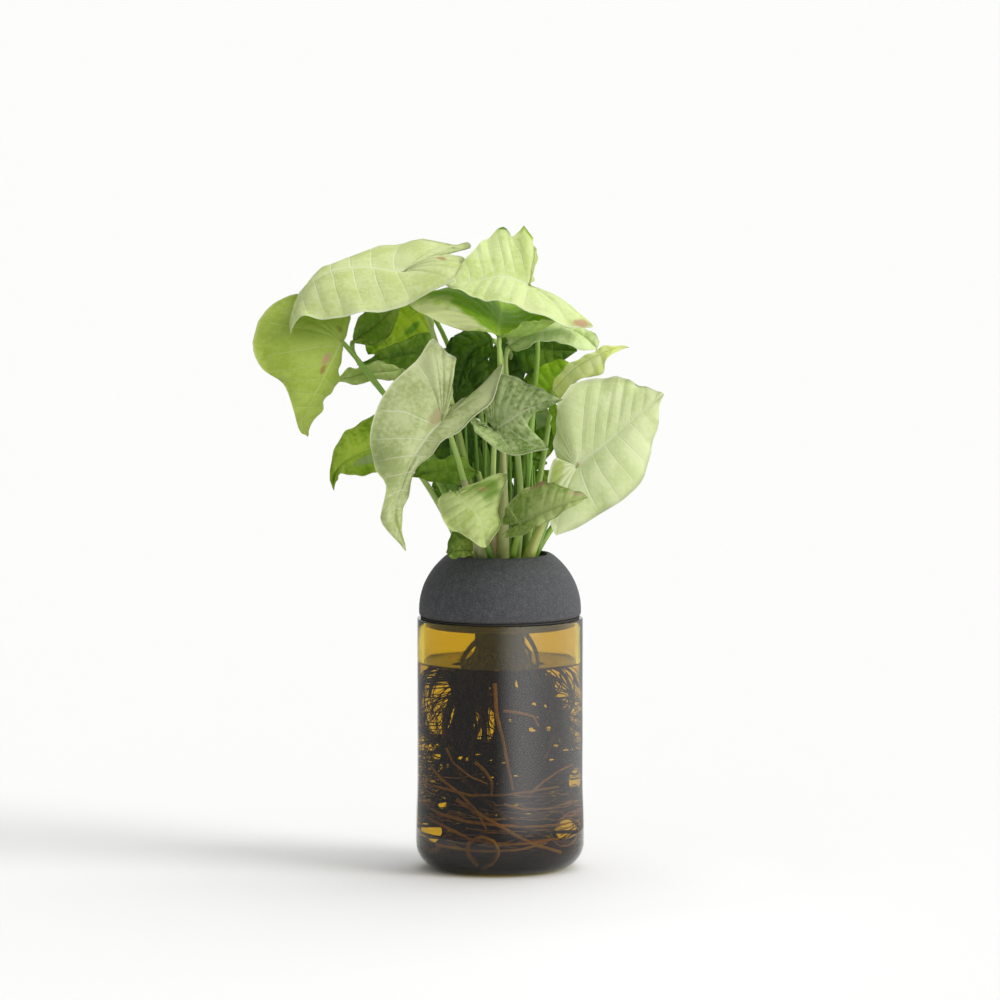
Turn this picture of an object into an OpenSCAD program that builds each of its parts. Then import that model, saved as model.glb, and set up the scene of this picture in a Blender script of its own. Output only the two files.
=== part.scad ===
// A water planter made from the cut-down foot of a bottle.
// A moulded collar sits on the cut rim, on a rubber seal, and its mouth holds a net cup.
// A leafy climbing plant stands in the cup, and its roots hang in the water of the jar.
// The origin is the centre of the ring that the jar stands on, and +Z is up.

/* [Jar] */
// Outside diameter of the straight wall
jar_d = 75; // [60:0.5:90]
// Extra diameter of the band above the heel
heel_step = 1.2; // [0.4:0.1:3]
// Height of the cut rim
jar_h = 114; // [90:1:150]
// Thickness of the glass wall
jar_wall = 2.8; // [2:0.1:4]
// Thickness of the glass at the base
jar_base = 4; // [3:0.1:6]
// Rise of the push-up under the base
push_up = 3; // [1:0.1:5]
// Radius of the heel
heel_r = 12; // [10:0.5:15]
// Height of the band above the heel
band_h = 18; // [10:0.5:25]
// Height of the slope from the band to the straight wall
band_slope_h = 4; // [2:0.5:8]
// Width of the ring that the jar stands on
foot_w = 3; // [2:0.5:6]
// Rounding of the cut rim
rim_r = 0.6; // [0.3:0.1:1]

/* [Seal] */
// Thickness of the seal's flange
seal_t = 0.6; // [0.4:0.1:1.5]
// Thickness of the seal's sleeve
sleeve_t = 0.8; // [0.5:0.1:1.5]
// Depth of the sleeve inside the jar
sleeve_h = 3; // [2:0.1:6]
// How far the flange stays inside the jar's outer wall
seal_inset = 1.6; // [1:0.1:2]

/* [Collar] */
// How much narrower the collar is than the jar
collar_inset = 1.8; // [0.6:0.1:3]
// Height of the collar above the seal
collar_h = 28.2; // [22:0.2:36]
// Thickness of the dome
collar_wall = 2.4; // [1.6:0.1:3]
// Height of the widest line above the lower edge
belt_h = 3; // [2:0.1:5]
// Rounding of the lower edge
edge_r = 1.6; // [0.8:0.1:2]
// Outside diameter of the mouth's lip
mouth_d = 46.4; // [38:0.2:56]
// Width of the lip
lip_w = 1.9; // [1.2:0.1:3]
// Rounding of the lip's inner edge
lip_r = 0.6; // [0.3:0.1:1]
// Depth of the mouth above the ledge
mouth_h = 3.2; // [2.4:0.1:5]
// Thickness of the ledge that carries the cup
ledge_t = 1.5; // [1:0.1:2.5]
// Depth of the spigot inside the jar
spigot_h = 3.8; // [3:0.1:8]
// Thickness of the spigot
spigot_t = 1.8; // [1.2:0.1:3]

/* [Net cup] */
// Thickness of the cup's rim
cup_rim_t = 1.4; // [1:0.1:2]
// Overhang of the rim on the ledge
cup_rim_w = 1.1; // [0.8:0.1:2]
// Thickness of the cup's wall
cup_wall = 1.2; // [0.8:0.1:1.8]
// Height of the funnel below the rim
funnel_h = 27; // [18:0.5:34]
// Height of the narrow part below the funnel
column_h = 22.6; // [16:0.2:30]
// Outside diameter at the top of the narrow part
column_d = 23.2; // [18:0.2:28]
// Outside diameter at the foot of the cup
cup_foot_d = 21.6; // [17:0.2:27]
// Height of a slot on the side
slot_h = 8; // [5:0.5:12]

/* [Plant] */
// Depth of the grow plug's top below the ledge
plug_drop = 10.5; // [8:0.5:14]
// Radius that all places and lengths of leaves follow
crown_r = 100; // [70:1:120]
// Thickness of a leaf
leaf_t = 0.6; // [0.4:0.05:0.8]
// Diameter of a leaf stalk at its foot
stalk_foot_d = 2.6; // [2:0.1:3]
// Diameter of a leaf stalk where it meets the leaf
stalk_tip_d = 1.4; // [1:0.1:1.8]
// Diameter of a root where it leaves the cup
root_d = 2.2; // [1.4:0.1:2.6]
// Diameter of a root at its end
root_tip_d = 1.2; // [0.8:0.1:1.6]

/* [Fits] */
// Radial clearance of pieces that slide or turn in each other
slide_gap = 0.3; // [0.2:0.05:0.4]
// Clearance between a piece and its seat
seat_gap = 0.15; // [0.1:0.05:0.3]

/* [Hidden] */
$fn = 96;
arc_steps = 10;
cut = 1;

// Jar
wall_r = jar_d / 2;
bore_r = wall_r - jar_wall;
band_r = wall_r + heel_step / 2;
foot_r = band_r - heel_r;
inner_heel_r = heel_r - heel_step;
floor_r = bore_r - inner_heel_r;
floor_top = jar_base + push_up;

// Seal and collar
sleeve_r = bore_r - slide_gap;
seal_z = jar_h + seat_gap;
collar_z = seal_z + seal_t + seat_gap;
collar_top = collar_z + collar_h;
collar_r = (jar_d - collar_inset) / 2;
belt_z = collar_z + belt_h;
spigot_r = sleeve_r - sleeve_t - slide_gap;
spigot_bore_r = spigot_r - spigot_t;
lip_out_r = mouth_d / 2;
mouth_r = lip_out_r - lip_w;
ledge_z = collar_top - mouth_h;
dome_end = acos(lip_out_r / collar_r);
dome_h = (collar_h - belt_h) / sin(dome_end);

// Net cup and plug
cup_rim_r = mouth_r - slide_gap;
funnel_r = cup_rim_r - cup_rim_w;
ledge_r = funnel_r + slide_gap;
cup_rim_z = ledge_z + seat_gap;
column_top = cup_rim_z - funnel_h;
cup_z = column_top - column_h;
column_r = column_d / 2;
slot_start_share = 0.6;
slot_w = root_d + 2 * slide_gap;
cup_foot_r = cup_foot_d / 2;
slot_start_r = cup_foot_r * slot_start_share;
funnel_slope = (funnel_r - column_r) / funnel_h;
plug_top = ledge_z - plug_drop;
plug_r = column_r - cup_wall - seat_gap + (plug_top - column_top) * funnel_slope;

// Leaves. The front ones are laid out as seen from the front. A row gives the places along
// the midrib, the left margin and the right margin, then how far each half bulges, the
// place of the stalk's foot in shares of stem_room_r and the reach of the stalk's end. A
// place is across and down in thousandths of the view's width and mm back, and on a margin
// the share of the midrib that it belongs to. The hidden ones follow a rule: a row gives
// the joint in shares of crown_r from the mouth, heading, pitch and roll in degrees,
// length, widths left and right and lobe as shares, droop, and the stalk's foot
leaf_table = [
    [[[403, 271, -10], [372, 266, -6], [340, 267, -6], [314, 278, -10], [298, 301, -18],
        [290, 329, -28]], [[428, 262, -8, 0], [452, 254, -6, 0], [469, 262, -10, 0],
        [452, 281, -22, 0], [425, 291, -27, 0.05], [398, 303, -31, 0.2], [360, 310, -33, 0.45],
        [325, 313, -33, 0.68], [303, 314, -30, 0.87]], [[424, 261, -6, 0], [450, 252, 2, 0],
        [471, 249, 8, 0], [448, 243, 16, 0], [418, 242, 21, 0.05], [388, 248, 22, 0.2],
        [352, 260, 18, 0.42], [327, 268, 10, 0.62], [306, 286, -4, 0.8], [292, 308, -18, 0.93]],
        [0.10, 0.06], [-0.48, -0.16], 0.15],
    [[[529, 283, -14], [505, 274, -16], [478, 277, -20], [446, 281, -24]], [[541, 292, -16, 0],
        [556, 301, -18, 0], [576, 313, -20, 0], [594, 322, -24, 0], [573, 325, -30, 0],
        [545, 311, -34, 0], [520, 302, -34, 0.15], [495, 297, -34, 0.4], [470, 291, -32, 0.7]],
        [[533, 272, -10, 0], [536, 255, -4, 0], [533, 238, 2, 0], [526, 225, 6, 0.02],
        [511, 239, 3, 0.15], [503, 227, 8, 0.3], [488, 239, 3, 0.5], [470, 253, -8, 0.75]],
        [0.08, 0.05], [0.32, 0.32], 0.34],
    [[[499, 332, -32], [500, 318, -22], [502, 307, -6], [503, 297, 14]], [[490, 328, -35, 0],
        [470, 325, -36, 0], [445, 320, -33, 0], [425, 311, -28, 0], [409, 300, -20, 0],
        [425, 291, -8, 0.2], [448, 287, 0, 0.5], [475, 291, 8, 0.8]], [[510, 325, -36, 0],
        [530, 316, -36, 0], [545, 317, -33, 0], [557, 318, -27, 0.05], [549, 311, -20, 0.25],
        [535, 306, -12, 0.5], [520, 301, -1, 0.75]], [0.16, -0.12], [0.08, -0.56], 0.15],
    [[[509, 344, -15], [532, 332, -15], [563, 327, -14], [585, 336, -15], [597, 347, -17]],
        [[507, 336, -13, 0], [514, 326, -12, 0.05], [530, 320, -10, 0.2], [552, 319, -8, 0.45],
        [577, 322, -9, 0.7], [592, 331, -13, 0.9]], [[513, 348, -18, 0], [526, 344, -24, 0.2],
        [545, 338, -27, 0.42], [562, 337, -27, 0.62], [580, 347, -23, 0.85]], [0.12, 0.18],
        [0.48, -0.24], 0.15],
    [[[343, 340, -12], [330, 365, -20], [315, 393, -25], [304, 417, -25], [309, 433, -22]],
        [[341, 350, -8, 0], [341, 362, -8, 0.08], [338, 378, -10, 0.32], [327, 394, -14, 0.55],
        [321, 409, -18, 0.75], [309, 420, -20, 0.9]], [[340, 325, -7, 0], [328, 308, -4, 0],
        [303, 298, -4, 0], [278, 300, -10, 0], [258, 318, -18, 0], [253, 342, -24, 0.05],
        [262, 364, -28, 0.2], [283, 379, -30, 0.45], [292, 400, -30, 0.65], [300, 427, -26, 0.9]],
        [0.05, 0.12], [-0.72, -0.40], 0.15],
    [[[442, 414, -46], [426, 432, -52], [411, 456, -56], [401, 482, -57], [394, 508, -58],
        [407, 543, -54]], [[449, 404, -42, 0], [460, 394, -38, 0], [478, 389, -36, 0],
        [492, 381, -36, 0], [503, 359, -34, 0], [499, 377, -41, 0], [486, 397, -47, 0],
        [470, 412, -51, 0.08], [452, 428, -54, 0.2], [433, 443, -56, 0.36], [416, 458, -56, 0.5],
        [411, 475, -56, 0.62], [408, 490, -55, 0.72], [402, 504, -54, 0.82],
        [401, 522, -53, 0.92]], [[449, 397, -44, 0], [452, 376, -40, 0], [457, 353, -36, 0],
        [445, 348, -34, 0], [433, 333, -32, 0], [416, 356, -38, 0], [390, 381, -44, 0.05],
        [375, 408, -50, 0.15], [370, 438, -54, 0.3], [375, 460, -57, 0.45], [386, 477, -59, 0.58],
        [382, 500, -61, 0.73], [382, 515, -61, 0.83], [396, 532, -58, 0.94]], [-0.06, 0.10],
        [-0.48, -0.64], 0.15],
    [[[495, 424, -40], [512, 412, -44], [533, 401, -46], [563, 393, -46]], [[488, 412, -38, 0],
        [480, 400, -35, 0], [487, 386, -35, 0], [498, 371, -34, 0], [513, 371, -36, 0.15],
        [531, 379, -41, 0.42], [547, 386, -45, 0.7]], [[484, 419, -44, 0], [474, 412, -46, 0],
        [476, 428, -50, 0], [489, 440, -52, 0.02], [508, 445, -54, 0.1], [530, 444, -54, 0.2],
        [549, 440, -52, 0.3], [536, 432, -46, 0.42], [528, 422, -43, 0.52], [532, 411, -43, 0.66],
        [547, 402, -45, 0.85]], [0.08, -0.10], [-0.16, -0.40], 0.15],
    [[[577, 462, -26], [605, 440, -26], [635, 414, -24], [664, 391, -20]], [[571, 452, -23, 0],
        [563, 430, -21, 0], [556, 405, -20, 0], [566, 388, -18, 0], [585, 377, -15, 0.1],
        [610, 375, -13, 0.35], [630, 378, -13, 0.6], [648, 386, -16, 0.84]], [[568, 462, -25, 0],
        [555, 455, -27, 0], [548, 470, -29, 0], [547, 498, -33, 0], [556, 530, -37, 0],
        [580, 521, -37, 0.05], [603, 507, -35, 0.15], [625, 493, -33, 0.3], [643, 474, -29, 0.45],
        [650, 452, -25, 0.6], [655, 428, -21, 0.78], [660, 403, -20, 0.93]], [0.06, 0.08],
        [0.72, -0.56], 0.15],
    [[[553, 389, -6], [572, 369, -8], [592, 356, -10], [611, 348, -10], [629, 345, -8]],
        [[552, 382, -5, 0.1], [564, 369, -4, 0.3], [579, 357, -6, 0.5], [596, 348, -8, 0.7],
        [612, 344, -8, 0.88]], [[557, 398, -6, 0.02], [566, 393, -9, 0.15], [577, 378, -12, 0.3],
        [592, 374, -14, 0.48], [603, 371, -14, 0.62], [608, 355, -13, 0.8]], [0.10, 0.12],
        [0.64, 0.08], 0.15],
    [[[394, 441, 0], [370, 447, -5], [350, 456, -11], [337, 468, -16], [333, 487, -20]],
        [[400, 452, -8, 0], [394, 464, -14, 0.1], [375, 470, -18, 0.3], [355, 472, -20, 0.55],
        [340, 471, -20, 0.76], [334, 476, -20, 0.9]], [[402, 430, 2, 0], [396, 415, 5, 0.05],
        [374, 414, 4, 0.2], [355, 425, 0, 0.42], [339, 440, -6, 0.66], [331, 455, -12, 0.82],
        [330, 472, -18, 0.94]], [0.08, 0.10], [-0.92, -0.08], 0.15],
    [[[456, 489, -42], [470, 500, -46], [481, 514, -48], [487, 541, -44]], [[463, 482, -38, 0],
        [475, 477, -34, 0.05], [490, 471, -30, 0.15], [507, 469, -28, 0.28], [502, 488, -34, 0.48],
        [498, 505, -40, 0.65], [500, 517, -44, 0.8], [494, 531, -46, 0.92]], [[449, 486, -42, 0],
        [441, 489, -42, 0.05], [437, 497, -44, 0.12], [442, 510, -48, 0.3], [450, 522, -49, 0.5],
        [464, 529, -49, 0.7], [477, 537, -47, 0.88]], [-0.10, 0.12], [-0.16, -0.88], 0.15],
    [[[521, 519, -38], [542, 507, -42], [565, 498, -44], [588, 491, -42]], [[508, 520, -35, 0],
        [502, 513, -34, 0], [510, 499, -32, 0], [523, 485, -32, 0.05], [540, 477, -34, 0.25],
        [552, 479, -37, 0.42], [563, 480, -39, 0.6], [576, 485, -41, 0.82]], [[513, 526, -39, 0],
        [502, 531, -40, 0], [520, 529, -44, 0.1], [538, 520, -46, 0.3], [552, 512, -46, 0.5],
        [565, 504, -46, 0.7], [577, 498, -44, 0.88]], [0.10, 0.10], [0.30, -0.80], 0.15],
    [[[472, 548, -16], [462, 546, -22], [446, 548, -26]], [[471, 551, -18, 0.2],
        [461, 554, -23, 0.5], [451, 554, -26, 0.8]], [[469, 532, -15, 0.15], [458, 526, -17, 0.45],
        [449, 535, -23, 0.8]], [0.15, 0.20], [-0.56, -0.84], 0.15],
    [[[353, 341, -1], [374, 327, 3], [402, 302, 10]], [[356, 326, 1, 0.1], [368, 308, 6, 0.4],
        [386, 298, 10, 0.75]], [[362, 343, -5, 0.1], [376, 343, -6, 0.33], [389, 336, -4, 0.58],
        [397, 320, 2, 0.82]], [0.10, 0.15], [-0.56, 0.16], 0.15],
    [[[402, 371, 15], [370, 374, 10], [337, 380, 5]], [[394, 380, 10, 0.2], [376, 380, 9, 0.42],
        [357, 385, 6, 0.68], [346, 383, 6, 0.87]], [[396, 366, 17, 0.15], [372, 365, 14, 0.45],
        [350, 369, 10, 0.78]], [0.12, 0.12], [-0.40, 0.56], 0.15],
    [[[438, 350, 28], [400, 358, 24], [357, 366, 19]], [[426, 367, 24, 0.2], [400, 372, 22, 0.5],
        [379, 369, 19, 0.76]], [[427, 337, 30, 0.2], [400, 344, 26, 0.5], [377, 356, 23, 0.8]],
        [0.10, 0.10], [-0.72, 0.56], 0.15],
    [[[425, 312, 40], [400, 332, 36], [368, 357, 30]], [[434, 330, 34, 0.15], [418, 350, 29, 0.45],
        [390, 357, 27, 0.8]], [[400, 298, 44, 0.15], [378, 312, 43, 0.5], [366, 336, 37, 0.82]],
        [0.12, 0.12], [-0.16, 0.72], 0.15],
    [[[492, 341, 10], [472, 354, 8], [456, 392, 4]], [[490, 357, 6, 0.15], [472, 368, 4, 0.5],
        [465, 382, 4, 0.82]], [[476, 329, 14, 0.15], [456, 337, 12, 0.45], [449, 364, 8, 0.76]],
        [0.12, 0.12], [-0.08, -0.12], 0.15],
    [[[478, 470, -12], [445, 467, -15], [411, 474, -17]], [[468, 479, -16, 0.2],
        [450, 482, -20, 0.45], [430, 477, -20, 0.74]], [[468, 460, -9, 0.2], [448, 455, -10, 0.48],
        [425, 459, -15, 0.8]], [0.10, 0.12], [-0.24, 0.12], 0.15],
    [[[482, 440, 15], [450, 443, 12], [414, 462, 8]], [[474, 462, 10, 0.2], [450, 466, 8, 0.5],
        [430, 464, 7, 0.78]], [[470, 422, 19, 0.2], [448, 424, 17, 0.5], [428, 440, 13, 0.8]],
        [0.12, 0.12], [-0.12, 0.36], 0.15],
    [[0.44, 0.08, 0.34], 350, -10, 60, 0.16, [0.40, 0.40], 0.20, 20, [0.88, 0.24]],
    [[[512, 352, 22], [545, 351, 20], [577, 352, 15]], [[520, 336, 28, 0.2], [545, 329, 26, 0.5],
        [563, 338, 20, 0.8]], [[524, 374, 16, 0.2], [545, 374, 14, 0.5], [563, 362, 14, 0.8]],
        [0.12, 0.12], [0.56, 0.36], 0.15],
    [[[564, 446, -16], [562, 428, -15], [556, 412, -13], [550, 396, -10]], [[557, 441, -15, 0.15],
        [552, 422, -12, 0.5], [549, 407, -10, 0.82]], [[574, 442, -18, 0.12],
        [570, 425, -16, 0.42], [561, 408, -13, 0.76]], [0.15, 0.15], [0.88, -0.16], 0.15],
    [[0.10, 0.21, 0.45], 350, -10, 60, 0.12, [0.40, 0.90], 0.20, 20, [0.38, 0.57]],
    [[-0.34, 0.60, 0.89], 120, -20, 0, 0.34, [0.50, 0.50], 0.40, 50, [-0.32, 0.96]],
    [[0.34, 0.38, 0.50], 40, -10, 0, 0.34, [0.50, 0.50], 0.40, 50, [0.72, 0.56]],
    [[0.07, 0.44, 0.67], 80, -20, 0, 0.38, [0.50, 0.50], 0.40, 50, [0.44, 0.84]],
    [[0.02, 0.32, 1.19], 60, 0, 0, 0.36, [0.50, 0.50], 0.40, 50, [0.12, 0.62]],
    [[-0.01, 0.36, 0.28], 100, -30, 0, 0.22, [0.50, 0.50], 0.40, 50, [0.04, 1]]
];
leaf_count = len(leaf_table);
leaf_names = [for (i = [1 : leaf_count]) str("leaf_", i < 10 ? "0" : "", i)];
view_mm = 0.4513;
view_middle = 500;
view_base = 868;
view_distance = 3000;
view_rise = 5.6;
drawn_crown_r = 100;
drawn_ledge_z = 139.9;
lobe_end_share = 0.12;
most_lobe_steps = 6;
blade_steps = 6;
leaf_rows = 2;
leaf_curl = -30;
back_bend_share = 0.3;
stalk_sides = 6;
stalk_rings = 9;
stalk_lean_share = 0.365;
stalk_rise_share = 0.55;
stalk_reach = 0.15;
stalk_side = [0.3, 1, 0.1];
stalk_end_shares = [0.8, 0.35];
stem_room_r = plug_r - stalk_foot_d;
stem_z = plug_top + stalk_foot_d / 4;

// Outline stations of a leaf that follows the rule, from the back of the joint round a
// lobe to the tip: share of the length forward, of the lobe back, of the half width, and
// of the length where the row meets the midrib
station_shares = [
    [0, 0, 0, 0],
    [0, -0.34, 0.06, 0],
    [0, -0.68, 0.19, 0],
    [0, -0.94, 0.40, 0],
    [0, -0.98, 0.60, 0],
    [0, -0.66, 0.86, 0],
    [0, -0.16, 1, 0],
    [0.20, 0, 0.95, 0.20],
    [0.42, 0, 0.76, 0.42],
    [0.62, 0, 0.50, 0.62],
    [0.80, 0, 0.25, 0.80],
    [0.92, 0, 0.09, 0.92],
    [1, 0, 0, 1]
];

// Roots. One row a root, and each has its own slot in the cup: number of the slot, swing
// round the jar in degrees, lane as a share of the jar's bore, level of its end as a share
// of the height below the cup, and sway as a share of its own diameter
root_shares = [
    [6, 250, 0.92, 0.07, 0.20],
    [9, -230, 0.83, 0.11, 0.20],
    [2, 210, 0.74, 0.17, 0.20],
    [7, -180, 0.65, 0.26, 0.20],
    [4, 160, 0.56, 0.38, 0.20],
    [5, -20, 0.46, 0.20, 0.40],
    [8, 25, 0.46, 0.46, 0.40],
    [0, -20, 0.46, 0.14, 0.40],
    [3, -25, 0.46, 0.30, 0.40],
    [1, 15, 0.46, 0.52, 0.40]
];
root_sides = 6;
root_rings = 26;
root_exit_share = 0.3;
root_fall_share = 0.62;
root_swing_share = 0.2;
root_waves = 3;
root_z = cup_z + slot_h / 2;
root_start_r = cup_foot_r - cup_wall - seat_gap + root_d / 2 + slide_gap;
root_count = len(root_shares);
root_names = [for (i = [1 : root_count]) str("root_", i < 10 ? "0" : "", i)];

function unit(v) = v / norm(v);
function smooth(x) = let(t = min(max(x, 0), 1)) t * t * (3 - 2 * t);
function sum_of(v, i = 0) = i < len(v) ? v[i] + sum_of(v, i + 1) : [0, 0, 0];
function turned(v, k, a) = v * cos(a) + cross(k, v) * sin(a) + k * (k * v) * (1 - cos(a));

// Points on an arc about c, and on the cap of a shallow dome that is h high at the axis
function arc(c, r, a0, a1) = [for (i = [0 : arc_steps])
    let(a = a0 + (a1 - a0) * i / arc_steps) c + r * [cos(a), sin(a)]];
function cap(r, z, h) = let(big = (r * r + h * h) / (2 * h))
    [for (i = [0 : arc_steps]) let(x = r * i / arc_steps)
        [x, z + h - big + sqrt(big * big - x * x)]];
function backwards(list) = [for (i = [len(list) - 1 : -1 : 0]) list[i]];

// An elliptical dome from angle t0 to t1, a wide and b high above the belt
function dome(a, b, t0, t1) = [for (i = [0 : 2 * arc_steps])
    let(t = t0 + (t1 - t0) * i / (2 * arc_steps)) [a * cos(t), belt_z + b * sin(t)]];

module glass_jar() {
    outside = concat(
        cap(foot_r - foot_w, 0, push_up),
        [[foot_r, 0]],
        arc([foot_r, heel_r], heel_r, -90, 0),
        [for (i = [0 : arc_steps]) let(s = i / arc_steps)
            [band_r + (wall_r - band_r) * smooth(s), heel_r + band_h + band_slope_h * s]],
        arc([wall_r - rim_r, jar_h - rim_r], rim_r, 0, 90));
    inside = concat(
        arc([bore_r + rim_r, jar_h - rim_r], rim_r, 90, 180),
        arc([floor_r, jar_base + inner_heel_r], inner_heel_r, 0, -90),
        backwards([for (p = cap(floor_r, jar_base, push_up)) if (p[0] < floor_r) p]));
    color("darkgoldenrod", 0.6)
        rotate_extrude() polygon(concat(outside, inside));
}

// An angle ring: its flange lies on the rim and its sleeve lines the bore
module rim_seal() {
    inner_r = sleeve_r - sleeve_t;
    top_z = seal_z + seal_t;
    foot_z = jar_h - sleeve_h;
    color("black")
        rotate_extrude() polygon([
            [inner_r, foot_z], [sleeve_r, foot_z], [sleeve_r, seal_z],
            [wall_r - seal_inset, seal_z], [wall_r - seal_inset, top_z], [inner_r, top_z]]);
}

// A hollow dome with a spigot below and a ledge inside its mouth
module collar() {
    spigot_z = jar_h - spigot_h;
    inner_a = collar_r - collar_wall;
    inner_b = dome_h - collar_wall;
    shelf_z = ledge_z - ledge_t;
    inner_end = asin((shelf_z - belt_z) / inner_b);
    outside = concat(
        [[spigot_bore_r, spigot_z], [spigot_r, spigot_z], [spigot_r, collar_z]],
        arc([collar_r - edge_r, collar_z + edge_r], edge_r, -90, 0),
        dome(collar_r, dome_h, 0, dome_end),
        arc([mouth_r + lip_r, collar_top - lip_r], lip_r, 90, 180));
    inside = concat(
        [[mouth_r, ledge_z], [ledge_r, ledge_z], [ledge_r, shelf_z]],
        dome(inner_a, inner_b, inner_end, 0),
        [[spigot_bore_r, belt_z - (inner_a - spigot_bore_r)]]);
    color([0.29, 0.29, 0.31])
        rotate_extrude() polygon(concat(outside, inside));
}

// A funnel on a narrow column, with slots through the foot for the roots
module net_cup() {
    rim_top = cup_rim_z + cup_rim_t;
    skin = [[0, cup_z], [cup_foot_r, cup_z], [column_r, column_top], [funnel_r, cup_rim_z],
        [cup_rim_r, cup_rim_z], [cup_rim_r, rim_top]];
    hollow = [[funnel_r - cup_wall, rim_top], [funnel_r - cup_wall, cup_rim_z],
        [column_r - cup_wall, column_top], [cup_foot_r - cup_wall, cup_z + cup_wall],
        [0, cup_z + cup_wall]];
    color([0.12, 0.12, 0.13])
        difference() {
            rotate_extrude() polygon(concat(skin, hollow));
            for (i = [0 : root_count - 1])
                rotate([0, 0, 360 * i / root_count])
                    translate([slot_start_r, -slot_w / 2, cup_z - cut])
                        cube([column_r, slot_w, slot_h + cut]);
        }
}

// Foam that fills the cup from its floor to plug_top
module grow_plug() {
    foot_r = cup_foot_r - cup_wall - seat_gap;
    mid_r = column_r - cup_wall - seat_gap;
    color("saddlebrown")
        rotate_extrude() polygon([
            [0, cup_z + cup_wall + seat_gap], [foot_r, cup_z + cup_wall + seat_gap],
            [mid_r, column_top], [plug_r, plug_top], [0, plug_top]]);
}

// A closed tube along the points, with the radii and the side directions given
module tube(path, radii, refs, sides) {
    count = len(path);
    rings = [for (i = [0 : count - 1])
        let(t = unit(path[min(i + 1, count - 1)] - path[max(i - 1, 0)]),
            a = unit(cross(t, refs[i])),
            b = cross(t, a))
        for (k = [0 : sides - 1])
            path[i] + radii[i] * (cos(360 * k / sides) * a + sin(360 * k / sides) * b)];
    walls = [for (i = [0 : count - 2], k = [0 : sides - 1])
        let(p = i * sides + k, q = i * sides + (k + 1) % sides)
        each [[p, q + sides, q], [p, p + sides, q + sides]]];
    far_end = (count - 1) * sides;
    ends = [for (k = [1 : sides - 2])
        each [[0, k, k + 1], [far_end, far_end + k + 1, far_end + k]]];
    polyhedron(rings, concat(walls, ends));
}

function is_drawn(l) = len(l) == 6;

// A seen place turned to a point of the part
function seen(p) =
    let(near = view_mm * (1 + p[2] / view_distance),
        rise = (view_base - p[1]) * near - sin(view_rise) * p[2])
    [0, 0, ledge_z] + crown_r / drawn_crown_r
        * [(p[0] - view_middle) * near, p[2], rise / cos(view_rise) - drawn_ledge_z];

// A smooth curve through the points. t counts them and need not be whole
function curve(points, t) =
    let(n = len(points),
        i = min(max(floor(t), 0), n - 2),
        f = t - i,
        a = points[max(i - 1, 0)],
        b = points[i],
        c = points[i + 1],
        d = points[min(i + 2, n - 1)])
    b + f / 2 * (c - a + f * (2 * a - 5 * b + 4 * c - d + f * (3 * (b - c) + d - a)));

// How far a margin turns round the joint from point k to the next, as a sine
function turn_at(points, way, k) =
    cross(unit(points[k] - points[0]), unit(points[k + 1] - points[0])) * way;

// What a drawn leaf is worked out from: midrib, margins and their shares, the way each
// half faces, and where each lobe begins and ends along its margin
function drawn_kit(l) =
    let(mids = [for (p = l[0]) seen(p)],
        joint = mids[0],
        tip = mids[len(mids) - 1],
        margins = [for (side = [0, 1]) concat([joint], [for (p = l[1 + side]) seen(p)], [tip])],
        shares = [for (side = [0, 1]) concat([0], [for (p = l[1 + side]) p[3]], [1])],
        ways = [for (side = [0, 1])
            let(out = sum_of(margins[side]) / len(margins[side]) - joint,
                n = unit(cross(tip - joint, out)))
            side == 0 ? n : -n],
        starts = [for (side = [0, 1])
            max(concat([1], [for (k = [1 : len(shares[side]) - 3])
                if (shares[side][k] == 0
                    && turn_at(margins[side], ways[side] * (side == 0 ? -1 : 1), k) < 0.03)
                    k + 1]))],
        ends = [for (side = [0, 1])
            max(share_place(shares[side], lobe_end_share), starts[side] + 1)])
    [mids, margins, shares, ways, starts, ends];
// Where along a margin a share of the midrib lies
function share_place(shares, share) =
    let(first = len([for (s = shares) if (s == 0) s]) - 1)
    lookup(share, [for (k = [first : len(shares) - 1]) [shares[k], k]]);
function lobe_steps(l, kit) = is_drawn(l)
    ? min(most_lobe_steps, 1 + ceil(1.3 * max(kit[5] - kit[4])))
    : most_lobe_steps;

// Midrib, margin and facing of a drawn leaf at station i of a leaf with m lobe stations
function drawn_mid(kit, m, i) =
    curve(kit[0], min(max((i - m) / blade_steps, 0), 1) * (len(kit[0]) - 1));
function drawn_edge(kit, m, i, side) =
    let(shares = kit[2][side],
        start = kit[4][side],
        end = kit[5][side],
        low = lookup(end, [for (k = [0 : len(shares) - 1]) [k, shares[k]]]),
        t = i <= m
            ? start + (end - start) * max(i - 1, 0) / (m - 1)
            : share_place(shares, low + (1 - low) * (i - m) / blade_steps))
    curve(kit[1][side], t);
function drawn_way(kit, m, i, side) =
    let(way = kit[3][side],
        j = min(max(i, m + 0.5), m + blade_steps - 0.5),
        along = drawn_mid(kit, m, j + 0.5) - drawn_mid(kit, m, j - 0.5),
        n = unit(cross(along, drawn_edge(kit, m, j, side) - drawn_mid(kit, m, j))))
    i < m ? way : unit(way / 2 + (side == 0 ? n : -n));
function drawn_point(l, kit, m, i, r, side) =
    let(mid = drawn_mid(kit, m, i),
        out = drawn_edge(kit, m, i, side) - mid,
        rise = l[3][side] * norm(out) * 4 * r * (1 - r))
    [mid + out * r + kit[3][side] * rise, drawn_way(kit, m, i, side)];

// Frame of a leaf that follows the rule: forward, up and left
function ruled_axes(l) =
    let(h = l[1],
        p = l[2],
        t = [cos(h) * cos(p), sin(h) * cos(p), sin(p)],
        n = turned([-cos(h) * sin(p), -sin(h) * sin(p), cos(p)], t, l[3]))
    [t, n, cross(n, t)];

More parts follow.
